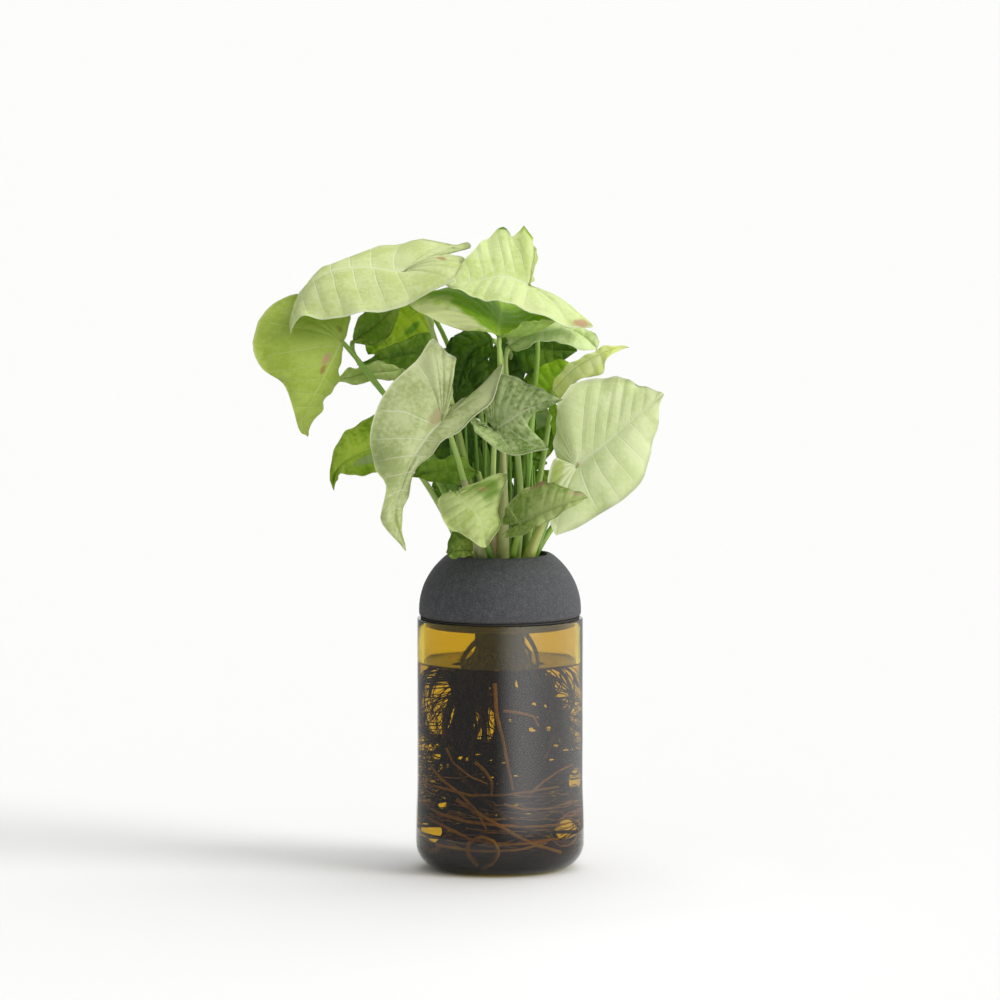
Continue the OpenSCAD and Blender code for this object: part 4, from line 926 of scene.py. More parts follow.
# Drawn leaves: midrib (across, down, back), left margin and right margin (the same and the
# share of the midrib that each place belongs to), bulges, and the stalk's foot
DRAWN = {
    1: DrawnLeaf(
        [(403, 271, -10), (372, 266, -6), (340, 267, -6), (314, 278, -10), (298, 301, -18),
         (290, 329, -28)],
        [(428, 262, -8, 0), (452, 254, -6, 0), (469, 262, -10, 0), (452, 281, -22, 0),
         (425, 291, -27, 0.05),
         (398, 303, -31, 0.2), (360, 310, -33, 0.45), (325, 313, -33, 0.68), (303, 314, -30, 0.87)],
        [(424, 261, -6, 0), (450, 252, 2, 0), (471, 249, 8, 0), (448, 243, 16, 0), (418, 242, 21, 0.05),
         (388, 248, 22, 0.2), (352, 260, 18, 0.42), (327, 268, 10, 0.62), (306, 286, -4, 0.8),
         (292, 308, -18, 0.93)],
        (0.10, 0.06), (-0.48, -0.16)),
    2: DrawnLeaf(
        [(529, 283, -14), (505, 274, -16), (478, 277, -20), (446, 281, -24)],
        [(541, 292, -16, 0), (556, 301, -18, 0), (576, 313, -20, 0), (594, 322, -24, 0),
         (573, 325, -30, 0),
         (545, 311, -34, 0), (520, 302, -34, 0.15), (495, 297, -34, 0.4), (470, 291, -32, 0.7)],
        [(533, 272, -10, 0), (536, 255, -4, 0), (533, 238, 2, 0), (526, 225, 6, 0.02),
         (511, 239, 3, 0.15),
         (503, 227, 8, 0.3), (488, 239, 3, 0.5), (470, 253, -8, 0.75)],
        (0.08, 0.05), (0.32, 0.32), 0.34),
    3: DrawnLeaf(
        [(499, 332, -32), (500, 318, -22), (502, 307, -6), (503, 297, 14)],
        [(490, 328, -35, 0), (470, 325, -36, 0), (445, 320, -33, 0), (425, 311, -28, 0),
         (409, 300, -20, 0),
         (425, 291, -8, 0.2), (448, 287, 0, 0.5), (475, 291, 8, 0.8)],
        [(510, 325, -36, 0), (530, 316, -36, 0), (545, 317, -33, 0), (557, 318, -27, 0.05),
         (549, 311, -20, 0.25),
         (535, 306, -12, 0.5), (520, 301, -1, 0.75)],
        (0.16, -0.12), (0.08, -0.56)),
    4: DrawnLeaf(
        [(509, 344, -15), (532, 332, -15), (563, 327, -14), (585, 336, -15), (597, 347, -17)],
        [(507, 336, -13, 0), (514, 326, -12, 0.05), (530, 320, -10, 0.2), (552, 319, -8, 0.45),
         (577, 322, -9, 0.7),
         (592, 331, -13, 0.9)],
        [(513, 348, -18, 0), (526, 344, -24, 0.2), (545, 338, -27, 0.42), (562, 337, -27, 0.62),
         (580, 347, -23, 0.85)],
        (0.12, 0.18), (0.48, -0.24)),
    5: DrawnLeaf(
        [(343, 340, -12), (330, 365, -20), (315, 393, -25), (304, 417, -25), (309, 433, -22)],
        [(341, 350, -8, 0), (341, 362, -8, 0.08), (338, 378, -10, 0.32), (327, 394, -14, 0.55),
         (321, 409, -18, 0.75),
         (309, 420, -20, 0.9)],
        [(350, 328, -7, 0), (346, 309, -5, 0), (328, 299, -4, 0), (303, 296, -4, 0),
         (278, 300, -10, 0), (258, 318, -18, 0),
         (253, 342, -24, 0.05), (262, 364, -28, 0.2), (283, 379, -30, 0.45), (292, 400, -30, 0.65),
         (300, 427, -26, 0.9)],
        (0.05, 0.12), (-0.72, -0.40)),
    6: DrawnLeaf(
        [(442, 414, -46), (426, 432, -52), (411, 456, -56), (401, 482, -57), (394, 508, -58),
         (407, 543, -54)],
        [(449, 404, -42, 0), (460, 394, -38, 0), (478, 389, -36, 0), (492, 381, -36, 0),
         (503, 359, -34, 0),
         (499, 377, -41, 0), (486, 397, -47, 0), (470, 412, -51, 0.08), (452, 428, -54, 0.2),
         (433, 443, -56, 0.36),
         (416, 458, -56, 0.5), (411, 475, -56, 0.62), (408, 490, -55, 0.72), (402, 504, -54, 0.82),
         (401, 522, -53, 0.92)],
        [(449, 397, -44, 0), (452, 376, -40, 0), (457, 353, -36, 0), (445, 348, -34, 0),
         (433, 333, -32, 0),
         (416, 356, -38, 0), (390, 381, -44, 0.05), (375, 408, -50, 0.15), (370, 438, -54, 0.3),
         (375, 460, -57, 0.45),
         (386, 477, -59, 0.58), (382, 500, -61, 0.73), (382, 515, -61, 0.83), (396, 532, -58, 0.94)],
        (-0.06, 0.10), (-0.48, -0.64)),
    7: DrawnLeaf(
        [(495, 424, -40), (512, 412, -44), (533, 401, -46), (563, 393, -46)],
        [(488, 412, -38, 0), (480, 400, -35, 0), (487, 386, -35, 0), (498, 371, -34, 0),
         (513, 371, -36, 0.15),
         (531, 379, -41, 0.42), (547, 386, -45, 0.7)],
        [(484, 419, -44, 0), (474, 412, -46, 0), (476, 428, -50, 0), (489, 440, -52, 0.02),
         (508, 445, -54, 0.1),
         (530, 444, -54, 0.2), (549, 440, -52, 0.3), (536, 432, -46, 0.42), (528, 422, -43, 0.52),
         (532, 411, -43, 0.66), (547, 402, -45, 0.85)],
        (0.08, -0.10), (-0.16, -0.40)),
    8: DrawnLeaf(
        [(577, 462, -26), (605, 440, -26), (635, 414, -24), (664, 391, -20)],
        [(563, 463, -23, 0), (555, 448, -21, 0), (556, 424, -20, 0), (558, 401, -19, 0),
         (566, 386, -18, 0.02), (585, 377, -15, 0.1),
         (610, 375, -13, 0.35), (630, 378, -13, 0.6), (648, 386, -16, 0.84)],
        [(568, 462, -25, 0), (555, 455, -27, 0), (548, 470, -29, 0), (547, 498, -33, 0),
         (556, 530, -37, 0),
         (580, 521, -37, 0.05), (603, 507, -35, 0.15), (625, 493, -33, 0.3), (643, 474, -29, 0.45),
         (650, 452, -25, 0.6), (655, 428, -21, 0.78), (660, 403, -20, 0.93)],
        (0.06, 0.08), (0.72, -0.56)),
    9: DrawnLeaf(
        [(553, 389, -6), (572, 369, -8), (592, 356, -10), (611, 348, -10), (629, 345, -8)],
        [(552, 382, -5, 0.1), (564, 369, -4, 0.3), (579, 357, -6, 0.5), (596, 348, -8, 0.7),
         (612, 344, -8, 0.88)],
        [(557, 398, -6, 0.02), (566, 393, -9, 0.15), (577, 378, -12, 0.3), (592, 374, -14, 0.48),
         (603, 371, -14, 0.62),
         (608, 355, -13, 0.8)],
        (0.10, 0.12), (0.64, 0.08)),
    10: DrawnLeaf(
        [(394, 441, 0), (370, 447, -5), (350, 456, -11), (337, 468, -16), (333, 487, -20)],
        [(400, 452, -8, 0), (394, 464, -14, 0.1), (375, 470, -18, 0.3), (355, 472, -20, 0.55),
         (340, 471, -20, 0.76),
         (334, 476, -20, 0.9)],
        [(402, 430, 2, 0), (396, 415, 5, 0.05), (374, 414, 4, 0.2), (355, 425, 0, 0.42),
         (339, 440, -6, 0.66),
         (331, 455, -12, 0.82), (330, 472, -18, 0.94)],
        (0.08, 0.10), (-0.92, -0.08)),
    11: DrawnLeaf(
        [(456, 489, -42), (470, 500, -46), (481, 514, -48), (487, 541, -44)],
        [(463, 482, -38, 0), (475, 477, -34, 0.05), (490, 471, -30, 0.15), (507, 469, -28, 0.28),
         (502, 488, -34, 0.48),
         (498, 505, -40, 0.65), (500, 517, -44, 0.8), (494, 531, -46, 0.92)],
        [(449, 486, -42, 0), (441, 489, -42, 0.05), (437, 497, -44, 0.12), (442, 510, -48, 0.3),
         (450, 522, -49, 0.5),
         (464, 529, -49, 0.7), (477, 537, -47, 0.88)],
        (-0.10, 0.12), (-0.16, -0.88)),
    12: DrawnLeaf(
        [(521, 519, -38), (542, 507, -42), (565, 498, -44), (588, 491, -42)],
        [(508, 520, -35, 0), (502, 513, -34, 0), (510, 499, -32, 0), (523, 485, -32, 0.05),
         (540, 477, -34, 0.25),
         (552, 479, -37, 0.42), (563, 480, -39, 0.6), (576, 485, -41, 0.82)],
        [(513, 526, -39, 0), (502, 531, -40, 0), (520, 529, -44, 0.1), (538, 520, -46, 0.3),
         (552, 512, -46, 0.5),
         (565, 504, -46, 0.7), (577, 498, -44, 0.88)],
        (0.10, 0.10), (0.30, -0.80)),
    13: DrawnLeaf(
        [(472, 548, -16), (462, 546, -22), (446, 548, -26)],
        [(471, 551, -18, 0.2), (461, 554, -23, 0.5), (451, 554, -26, 0.8)],
        [(469, 532, -15, 0.15), (458, 526, -17, 0.45), (449, 535, -23, 0.8)],
        (0.15, 0.20), (-0.56, -0.84)),
    14: DrawnLeaf(
        [(353, 341, -1), (374, 327, 3), (402, 302, 10)],
        [(356, 326, 1, 0.1), (368, 308, 6, 0.4), (386, 298, 10, 0.75)],
        [(362, 343, -5, 0.1), (376, 343, -6, 0.33), (389, 336, -4, 0.58), (397, 320, 2, 0.82)],
        (0.10, 0.15), (-0.56, 0.16)),
    15: DrawnLeaf(
        [(402, 371, 15), (370, 374, 10), (337, 380, 5)],
        [(394, 380, 10, 0.2), (376, 380, 9, 0.42), (357, 385, 6, 0.68), (346, 383, 6, 0.87)],
        [(396, 366, 17, 0.15), (372, 365, 14, 0.45), (350, 369, 10, 0.78)],
        (0.12, 0.12), (-0.40, 0.56)),
    16: DrawnLeaf(
        [(438, 350, 28), (400, 358, 24), (357, 366, 19)],
        [(426, 367, 24, 0.2), (400, 372, 22, 0.5), (379, 369, 19, 0.76)],
        [(427, 337, 30, 0.2), (400, 344, 26, 0.5), (377, 356, 23, 0.8)],
        (0.10, 0.10), (-0.72, 0.56)),
    17: DrawnLeaf(
        [(425, 312, 40), (400, 332, 36), (368, 357, 30)],
        [(434, 330, 34, 0.15), (418, 350, 29, 0.45), (390, 357, 27, 0.8)],
        [(400, 298, 44, 0.15), (378, 312, 43, 0.5), (366, 336, 37, 0.82)],
        (0.12, 0.12), (-0.16, 0.72)),
    18: DrawnLeaf(
        [(492, 341, 10), (472, 354, 8), (456, 392, 4)],
        [(490, 357, 6, 0.15), (472, 368, 4, 0.5), (465, 382, 4, 0.82)],
        [(476, 329, 14, 0.15), (456, 337, 12, 0.45), (449, 364, 8, 0.76)],
        (0.12, 0.12), (-0.08, -0.12)),
    19: DrawnLeaf(
        [(478, 470, -12), (445, 467, -15), (411, 474, -17)],
        [(468, 479, -16, 0.2), (450, 482, -20, 0.45), (430, 477, -20, 0.74)],
        [(468, 460, -9, 0.2), (448, 455, -10, 0.48), (425, 459, -15, 0.8)],
        (0.10, 0.12), (-0.24, 0.12)),
    20: DrawnLeaf(
        [(482, 440, 15), (450, 443, 12), (414, 462, 8)],
        [(474, 462, 10, 0.2), (450, 466, 8, 0.5), (430, 464, 7, 0.78)],
        [(470, 422, 19, 0.2), (448, 424, 17, 0.5), (428, 440, 13, 0.8)],
        (0.12, 0.12), (-0.12, 0.36)),
    22: DrawnLeaf(
        [(512, 352, 22), (545, 351, 20), (577, 352, 15)],
        [(520, 336, 28, 0.2), (545, 329, 26, 0.5), (563, 338, 20, 0.8)],
        [(524, 374, 16, 0.2), (545, 374, 14, 0.5), (563, 362, 14, 0.8)],
        (0.12, 0.12), (0.56, 0.36)),
    23: DrawnLeaf(
        [(564, 446, -16), (562, 428, -15), (556, 412, -13), (550, 396, -10)],
        [(557, 441, -15, 0.15), (552, 422, -12, 0.5), (549, 407, -10, 0.82)],
        [(574, 442, -18, 0.12), (570, 425, -16, 0.42), (561, 408, -13, 0.76)],
        (0.15, 0.15), (0.88, -0.16)),
}

# Leaves at the back, mostly hidden, are worked out by rule. A row gives the joint's place
# in shares of the crown, heading, pitch and roll, length, half width, lobe and droop,
# and the stalk's foot.
STATIONS = np.array([
    (0, 0, 0, 0), (0, -0.34, 0.06, 0), (0, -0.68, 0.19, 0), (0, -0.94, 0.40, 0), (0, -0.98, 0.60, 0),
    (0, -0.66, 0.86, 0), (0, -0.16, 1, 0), (0.20, 0, 0.95, 0.20), (0.42, 0, 0.76, 0.42),
    (0.62, 0, 0.50, 0.62), (0.80, 0, 0.25, 0.80), (0.92, 0, 0.09, 0.92), (1, 0, 0, 1)])
CROWN = 100.0
CURL = -30
LOBE_DROOP = 0.3
BACK_ROWS = {
    21: ((0.44, 0.08, 0.34), 350, -10, 60, 0.16, (0.40, 0.40), 0.20, 20, (0.88, 0.24)),
    24: ((0.10, 0.21, 0.45), 350, -10, 60, 0.12, (0.40, 0.90), 0.20, 20, (0.38, 0.57)),
    25: ((-0.34, 0.60, 0.89), 120, -20, 0, 0.34, (0.50, 0.50), 0.40, 50, (-0.32, 0.96)),
    26: ((0.34, 0.38, 0.50), 40, -10, 0, 0.34, (0.50, 0.50), 0.40, 50, (0.72, 0.56)),
    27: ((0.07, 0.44, 0.67), 80, -20, 0, 0.38, (0.50, 0.50), 0.40, 50, (0.44, 0.84)),
    28: ((0.02, 0.32, 1.19), 60, 0, 0, 0.36, (0.50, 0.50), 0.40, 50, (0.12, 0.62)),
    29: ((-0.01, 0.36, 0.28), 100, -30, 0, 0.22, (0.50, 0.50), 0.40, 50, (0.04, 1))}


class RuledLeaf:
    """A blade bent over its midrib, drooping at the tip, with the same outline as its kin."""

    reach = REACH

    def __init__(self, row):
        place, heading, pitch, roll, length, self.width, self.lobe, droop, self.foot = row
        self.joint = np.array([0, 0, LEDGE_Z]) + CROWN * np.array(place)
        self.length, self.droop = CROWN * length, math.radians(droop)
        h, p, r = (math.radians(a) for a in (heading, pitch, roll))
        self.ahead = np.array([math.cos(h) * math.cos(p), math.sin(h) * math.cos(p), math.sin(p)])
        up = np.array([-math.cos(h) * math.sin(p), -math.sin(h) * math.sin(p), math.cos(p)])
        self.up = up * math.cos(r) + np.cross(self.ahead, up) * math.sin(r)
        self.left = np.cross(self.up, self.ahead)

    def bent(self, x, w, side):
        droop = self.droop * np.where(x < 0, LOBE_DROOP, 1.0)
        a = droop * x / self.length
        k = math.radians(CURL) / (self.length * self.width[side])
        upward = np.cos(a)[:, None] * self.up + np.sin(a)[:, None] * self.ahead
        hand = 1 if side == 0 else -1
        return (self.joint + (self.length * np.sin(a) / droop)[:, None] * self.ahead
                - (self.length * (1 - np.cos(a)) / droop)[:, None] * self.up
                + (hand * np.sin(k * w) / k)[:, None] * self.left
                + ((1 - np.cos(k * w)) / k)[:, None] * upward)

    def middle(self, i):
        return self.spot(i, 0, 0)

    def spot(self, i, r, side):
        forward, back, wide, inner = curve(STATIONS, i * (len(STATIONS) - 1) / LAST).T
        inner = np.clip(np.where(i <= LOBE_STEPS, 0, inner), 0, 1)
        x = forward + back * self.lobe
        return self.bent(self.length * (inner * (1 - r) + x * r),
                         np.clip(wide, 0, None) * self.length * self.width[side] * r, side)


def leaf_piece(name, shape, ripple, seed, materials):
    """Blade with an upper and a lower face, quilted between its veins."""
    counts = np.arange(LAST + 1.0)
    spots, stations = [shape.middle(counts[LOBE_STEPS:])], [counts[LOBE_STEPS:]]
    shares = [np.zeros(BLADE_STEPS + 1)]
    for side in (0, 1):
        for j in range(1, BANDS + 1):
            spots.append(shape.spot(counts[1:LAST], j / BANDS, side))
            stations.append(counts[1:LAST])
            shares.append(np.full(LAST - 1, (j / BANDS) * (1 if side == 0 else -1)))
    spots, stations, shares = np.concatenate(spots), np.concatenate(stations), np.concatenate(shares)

    def index(side, i, j):
        if i in (0, LAST) or j == 0:
            return 0 if i == 0 else BLADE_STEPS if i == LAST else max(0, i - LOBE_STEPS)
        return BLADE_STEPS + 1 + (side * BANDS + j - 1) * (LAST - 1) + i - 1

    top = []
    for side in (0, 1):
        for i in range(LAST):
            for j in range(BANDS):
                corners = ((i, j), (i + 1, j), (i + 1, j + 1), (i, j + 1))
                ring = list(dict.fromkeys(index(side, *corner) for corner in corners))
                if len(ring) > 2:
                    top.append(ring if side == 0 else ring[::-1])
    sheet = bpy.data.meshes.new(name)
    sheet.from_pydata([tuple(p) for p in spots], [], top)
    ups = np.zeros(len(spots) * 3)
    sheet.vertex_normals.foreach_get("vector", ups)
    bpy.data.meshes.remove(sheet)
    ups = ups.reshape(-1, 3)
    edge = abs(shares)
    lines = (stations / LAST - edge * VEIN_SLANT) * VEINS
    scale = shape.length / QUILT_SIZE
    quilt = (0.5 - abs(lines - np.floor(lines) - 0.5)) * 2 * np.clip(edge * 3, 0, 1) * (1 - edge ** 3)
    wave = np.sin(stations * 0.55 + seed * 1.7 + (shares < 0) * 1.9) + 0.6 * np.sin(stations * 1.3 + seed)
    lumps = np.sin(spots[:, 0] * 0.24 + seed) * np.sin(spots[:, 2] * 0.21 + 2 * seed)
    lift = QUILT * scale * (quilt - 0.4) * (stations > 1) + ripple * wave * edge ** 3
    lift += LUMPS * scale * lumps * edge * (stations > 1) - MIDRIB_DEPTH * (edge < 0.01)
    spots = spots + ups * lift[:, None]
    verts = np.concatenate([spots + ups * LEAF_T / 2, spots - ups * LEAF_T / 2]) * MM
    count = len(spots)
    faces = top + [[c + count for c in reversed(ring)] for ring in top]
    looks = [0] * len(top) + [1] * len(top)
    for side in (0, 1):
        for i in range(LAST):
            a, b = index(side, i, BANDS), index(side, i + 1, BANDS)
            rim = [a, b, b + count, a + count]
            faces.append(rim[::-1] if side == 0 else rim)
            looks.append(0)
    mesh = bpy.data.meshes.new(name)
    mesh.from_pydata([tuple(v) for v in verts], [], faces)
    uv = mesh.uv_layers.new(name="leaf")
    flat = np.stack([stations / LAST, shares / 2 + 0.5], 1)
    flat = np.concatenate([flat, flat])
    corners = np.zeros(len(mesh.loops), int)
    mesh.loops.foreach_get("vertex_index", corners)
    uv.data.foreach_set("uv", flat[corners].ravel())
    mesh.polygons.foreach_set("use_smooth", [True] * len(faces))
    mesh.polygons.foreach_set("material_index", looks)
    for material in materials:
        mesh.materials.append(material)
    return link(bpy.data.objects.new(name, mesh))


def stalk_path(shape, steps):
    """The stalk's middle line, from the plug out through the mouth to the leaf's joint."""
    foot = np.array([STEM_ROOM_R * shape.foot[0], STEM_ROOM_R * shape.foot[1], STEM_Z])
    tip = shape.joint - shape.up * LEAF_T / 4
    span = np.linalg.norm(tip - foot)
    rise = np.array([shape.foot[0] * STEM_LEAN, shape.foot[1] * STEM_LEAN, 1.0])
    p1 = foot + unit(rise) * span * 0.55
    p2 = tip + unit(-shape.up * 0.8 - shape.ahead * 0.35) * span * shape.reach
    u = np.linspace(0, 1, steps)[:, None]
    return foot * (1 - u) ** 3 + 3 * p1 * u * (1 - u) ** 2 + 3 * p2 * u * u * (1 - u) + tip * u ** 3, u[:, 0]


def blade_skin(name, tones, vein_mix, glow, patches, roughness):
    """Leaf skin: a tone from young to deep, with a midrib, side veins and a fine net."""
    young, deep, vein = tones
    paint = Paint(name)
    t, across, _ = paint.split(paint.add("ShaderNodeUVMap", {"uv_map": "leaf"}, {}))
    across = across * 2 - 1
    r = abs(across)
    place = paint.place()
    sway = (paint.noise(45, 1.0, place) - 0.5) * 0.35
    midrib = (r + t * 0.03).ease(0.060, 0.030) * t.ease(0.49, 0.51)
    lines = (t - r * VEIN_SLANT) * VEINS + sway
    gap = abs(lines.math("FRACT", lines + 100) - 0.5)
    sides = (gap - r * 0.02).ease(0.44, 0.485) * (1 - r.ease(0.75, 0.98) * 0.7)
    net = paint.add("ShaderNodeTexVoronoi", {"feature": "DISTANCE_TO_EDGE"}, {"Vector": place, "Scale": 260})
    fine_net = net.ease(0.07, 0.0) * 0.18
    veins = midrib.over(sides * 0.9)
    blotch = paint.noise(60, 5.0, place)
    fleck = paint.noise(520, 3.0, place)
    tone = paint.mix((blotch * 0.9 + fleck * 0.5 - 0.22).ease(0.36, 0.64), young, deep)
    tone = paint.mix(veins.over(fine_net) * vein_mix, tone, vein)
    tone = paint.mix(r.ease(0.965, 0.99) * 0.6, tone, vein)
    # Patches: the leaf's own spots and scars, and on some leaves painted shade and painted light
    for at_t, at_across, size, colour in patches:
        spot = ((t - at_t) * (t - at_t) + (across - at_across) * (across - at_across) * 0.25) ** 0.5
        spot = spot + (paint.noise(160, 3.0, place) - 0.5) * size
        tone = paint.mix(spot.ease(size, size * 0.35), tone, colour)
    pillow = (1 - gap * 2).ease(0.0, 0.8) * r.ease(0.02, 0.3)
    crinkle = paint.noise(190, 2.0, place)
    relief = paint.bump(pillow * 0.55 + net.ease(0, 0.2) * 0.10 + crinkle * 0.8 - veins * 0.4, 0.55, 0.0008)
    skin = paint.add("ShaderNodeBsdfPrincipled", {}, {
        "Base Color": tone, "Roughness": veins * 0.1 + roughness, "Normal": relief,
        "Specular IOR Level": 0.25})
    through = paint.add("ShaderNodeBsdfTranslucent", {}, {"Color": glow})
    return paint.show(paint.add("ShaderNodeMixShader", {}, {0: 0.30, 1: skin, 2: through}))


def stalk_skin(name, base, tip):
    """Stalk skin: streaked, from the tone of its foot to the tone of its tip."""
    paint = Paint(name)
    height = paint.split(paint.place())[2]
    streak = paint.noise(260, 2.0)
    tone = paint.mix((height * 9 - 1.25 + streak * 0.3).ease(0.0, 0.6), base, tip)
    return paint.coat({
        "Base Color": tone, "Roughness": streak * 0.15 + 0.35, "Normal": paint.bump(streak, 0.3, 0.0005)})


# Each leaf's colours: young tone, deep tone and vein, strength of the veins, light that
# shines through, and patches (along, across, size, colour) for scars, scorched spots and
# halves of another green, and on leaves 2, 3 and 5 for painted shade and painted light
BROWN = (0.28, 0.16, 0.08)
ROSE = (0.55, 0.30, 0.20)
# A dark green: on leaf 2 painted shade in its curled corner, on leaf 17 dark patches
DEEP_GREEN_AND_SHADE = (0.10, 0.24, 0.005)
SHADES = {
    1: (((0.74, 0.80, 0.42), (0.60, 0.68, 0.26), (0.88, 0.90, 0.72)), 0.60, (0.62, 0.78, 0.16), [
        (0.31, 0.66, 0.05, ROSE), (0.22, 0.85, 0.04, ROSE), (0.50, 0.0, 0.05, (0.85, 0.86, 0.62))]),
    2: (((0.76, 0.84, 0.42), (0.62, 0.72, 0.26), (0.88, 0.91, 0.70)), 0.55, (0.62, 0.80, 0.14), [
        (0.38, 0.92, 0.05, ROSE), (0.655, -1.0, 0.05, DEEP_GREEN_AND_SHADE), (0.30, -0.55, 0.03, ROSE),
        (0.52, -1.0, 0.05, (0.48, 0.66, 0.06))]),
    # Leaf 3: the two pale patches on its left lobe are painted light, where the lobe curls out into the light
    3: (((0.34, 0.52, 0.02), (0.20, 0.38, 0.005), (0.60, 0.70, 0.20)), 0.45, (0.45, 0.72, 0.02), [
        (0.30, 0.75, 0.26, (0.74, 0.78, 0.36)), (0.42, 0.95, 0.20, (0.74, 0.78, 0.36))]),
    4: (((0.74, 0.84, 0.44), (0.56, 0.68, 0.26), (0.80, 0.86, 0.56)), 0.5, (0.55, 0.75, 0.14), [
        (0.85, 0.9, 0.05, ROSE)]),
    # Leaf 5: the dark olive patch in the lobe beside the joint is painted shade; the rose and brown spots are
    # its own
    5: (((0.46, 0.57, 0.11), (0.36, 0.47, 0.06), (0.62, 0.68, 0.26)), 0.6, (0.40, 0.56, 0.04), [
        (0.585, -0.12, 0.035, ROSE), (0.63, -0.10, 0.03, (0.36, 0.20, 0.06)),
        (0.24, -0.3, 0.05, (0.30, 0.28, 0.05))]),
    6: (((0.64, 0.70, 0.36), (0.40, 0.48, 0.18), (0.84, 0.85, 0.62)), 0.65, (0.40, 0.52, 0.08), [
        (0.50, -0.1, 0.07, (0.44, 0.38, 0.20)), (0.94, 0.2, 0.10, (0.30, 0.36, 0.10)),
        (0.22, 0.5, 0.10, (0.66, 0.72, 0.26))]),
    7: (((0.54, 0.66, 0.28), (0.17, 0.27, 0.05), (0.72, 0.76, 0.48)), 0.8, (0.25, 0.40, 0.05), [
        (0.22, -0.85, 0.10, (0.66, 0.74, 0.34)), (0.77, 0.13, 0.035, BROWN),
        (0.50, 0.0, 0.05, (0.24, 0.20, 0.06))]),
    8: (((0.80, 0.85, 0.52), (0.68, 0.76, 0.38), (0.90, 0.91, 0.74)), 0.50, (0.62, 0.78, 0.24), [
        (0.50, 0.0, 0.035, (0.46, 0.30, 0.14)), (0.30, -0.7, 0.16, (0.56, 0.64, 0.20))]),
    9: (((0.90, 0.93, 0.52), (0.82, 0.88, 0.26), (0.92, 0.94, 0.70)), 0.6, (0.70, 0.82, 0.20), []),
    10: (((0.50, 0.64, 0.06), (0.22, 0.38, 0.004), (0.50, 0.62, 0.14)), 0.5, (0.28, 0.50, 0.01), [
        (0.66, 0.5, 0.12, (0.34, 0.42, 0.16)), (0.30, -0.9, 0.06, ROSE)]),
    11: (((0.60, 0.70, 0.27), (0.44, 0.55, 0.13), (0.74, 0.78, 0.44)), 0.6, (0.40, 0.55, 0.06), [
        (0.62, 0.62, 0.18, (0.20, 0.32, 0.05)), (0.62, 0.5, 0.05, (0.40, 0.34, 0.12))]),
    12: (((0.46, 0.56, 0.18), (0.17, 0.28, 0.03), (0.58, 0.62, 0.26)), 0.5, (0.25, 0.42, 0.03), [
        (0.93, 0.7, 0.10, (0.56, 0.46, 0.24)), (0.62, 0.95, 0.06, ROSE)]),
    13: (((0.30, 0.42, 0.04), (0.10, 0.18, 0.01), (0.52, 0.56, 0.20)), 0.5, (0.2, 0.35, 0.02), []),
    14: (((0.36, 0.50, 0.09), (0.18, 0.32, 0.02), (0.40, 0.46, 0.16)), 0.5, (0.12, 0.24, 0.01), []),
    15: (((0.76, 0.86, 0.34), (0.52, 0.66, 0.16), (0.66, 0.72, 0.34)), 0.5, (0.30, 0.48, 0.04), []),
    16: (((0.22, 0.36, 0.03), (0.06, 0.18, 0.0), (0.22, 0.34, 0.05)), 0.4, (0.06, 0.18, 0.0), []),
    17: (((0.36, 0.50, 0.01), (0.10, 0.24, 0.0), (0.50, 0.60, 0.10)), 0.5, (0.30, 0.52, 0.0), [
        (0.70, 0.4, 0.10, DEEP_GREEN_AND_SHADE), (0.62, -0.5, 0.08, DEEP_GREEN_AND_SHADE)]),
    22: (((0.14, 0.26, 0.01), (0.04, 0.12, 0.0), (0.26, 0.40, 0.06)), 0.4, (0.10, 0.26, 0.0), []),
    23: (((0.32, 0.52, 0.01), (0.20, 0.38, 0.0), (0.48, 0.62, 0.10)), 0.5, (0.34, 0.60, 0.0), [])}
DARK = (((0.09, 0.19, 0.005), (0.025, 0.085, 0.0), (0.17, 0.30, 0.03)), 0.4, (0.05, 0.16, 0.0), [])
MID = (((0.20, 0.34, 0.02), (0.09, 0.20, 0.0), (0.36, 0.48, 0.10)), 0.5, (0.16, 0.34, 0.0), [])
STALKS = [((0.16, 0.30, 0.02), (0.30, 0.44, 0.08)), ((0.30, 0.40, 0.10), (0.36, 0.48, 0.12)),
          ((0.08, 0.20, 0.01), (0.22, 0.38, 0.04))]
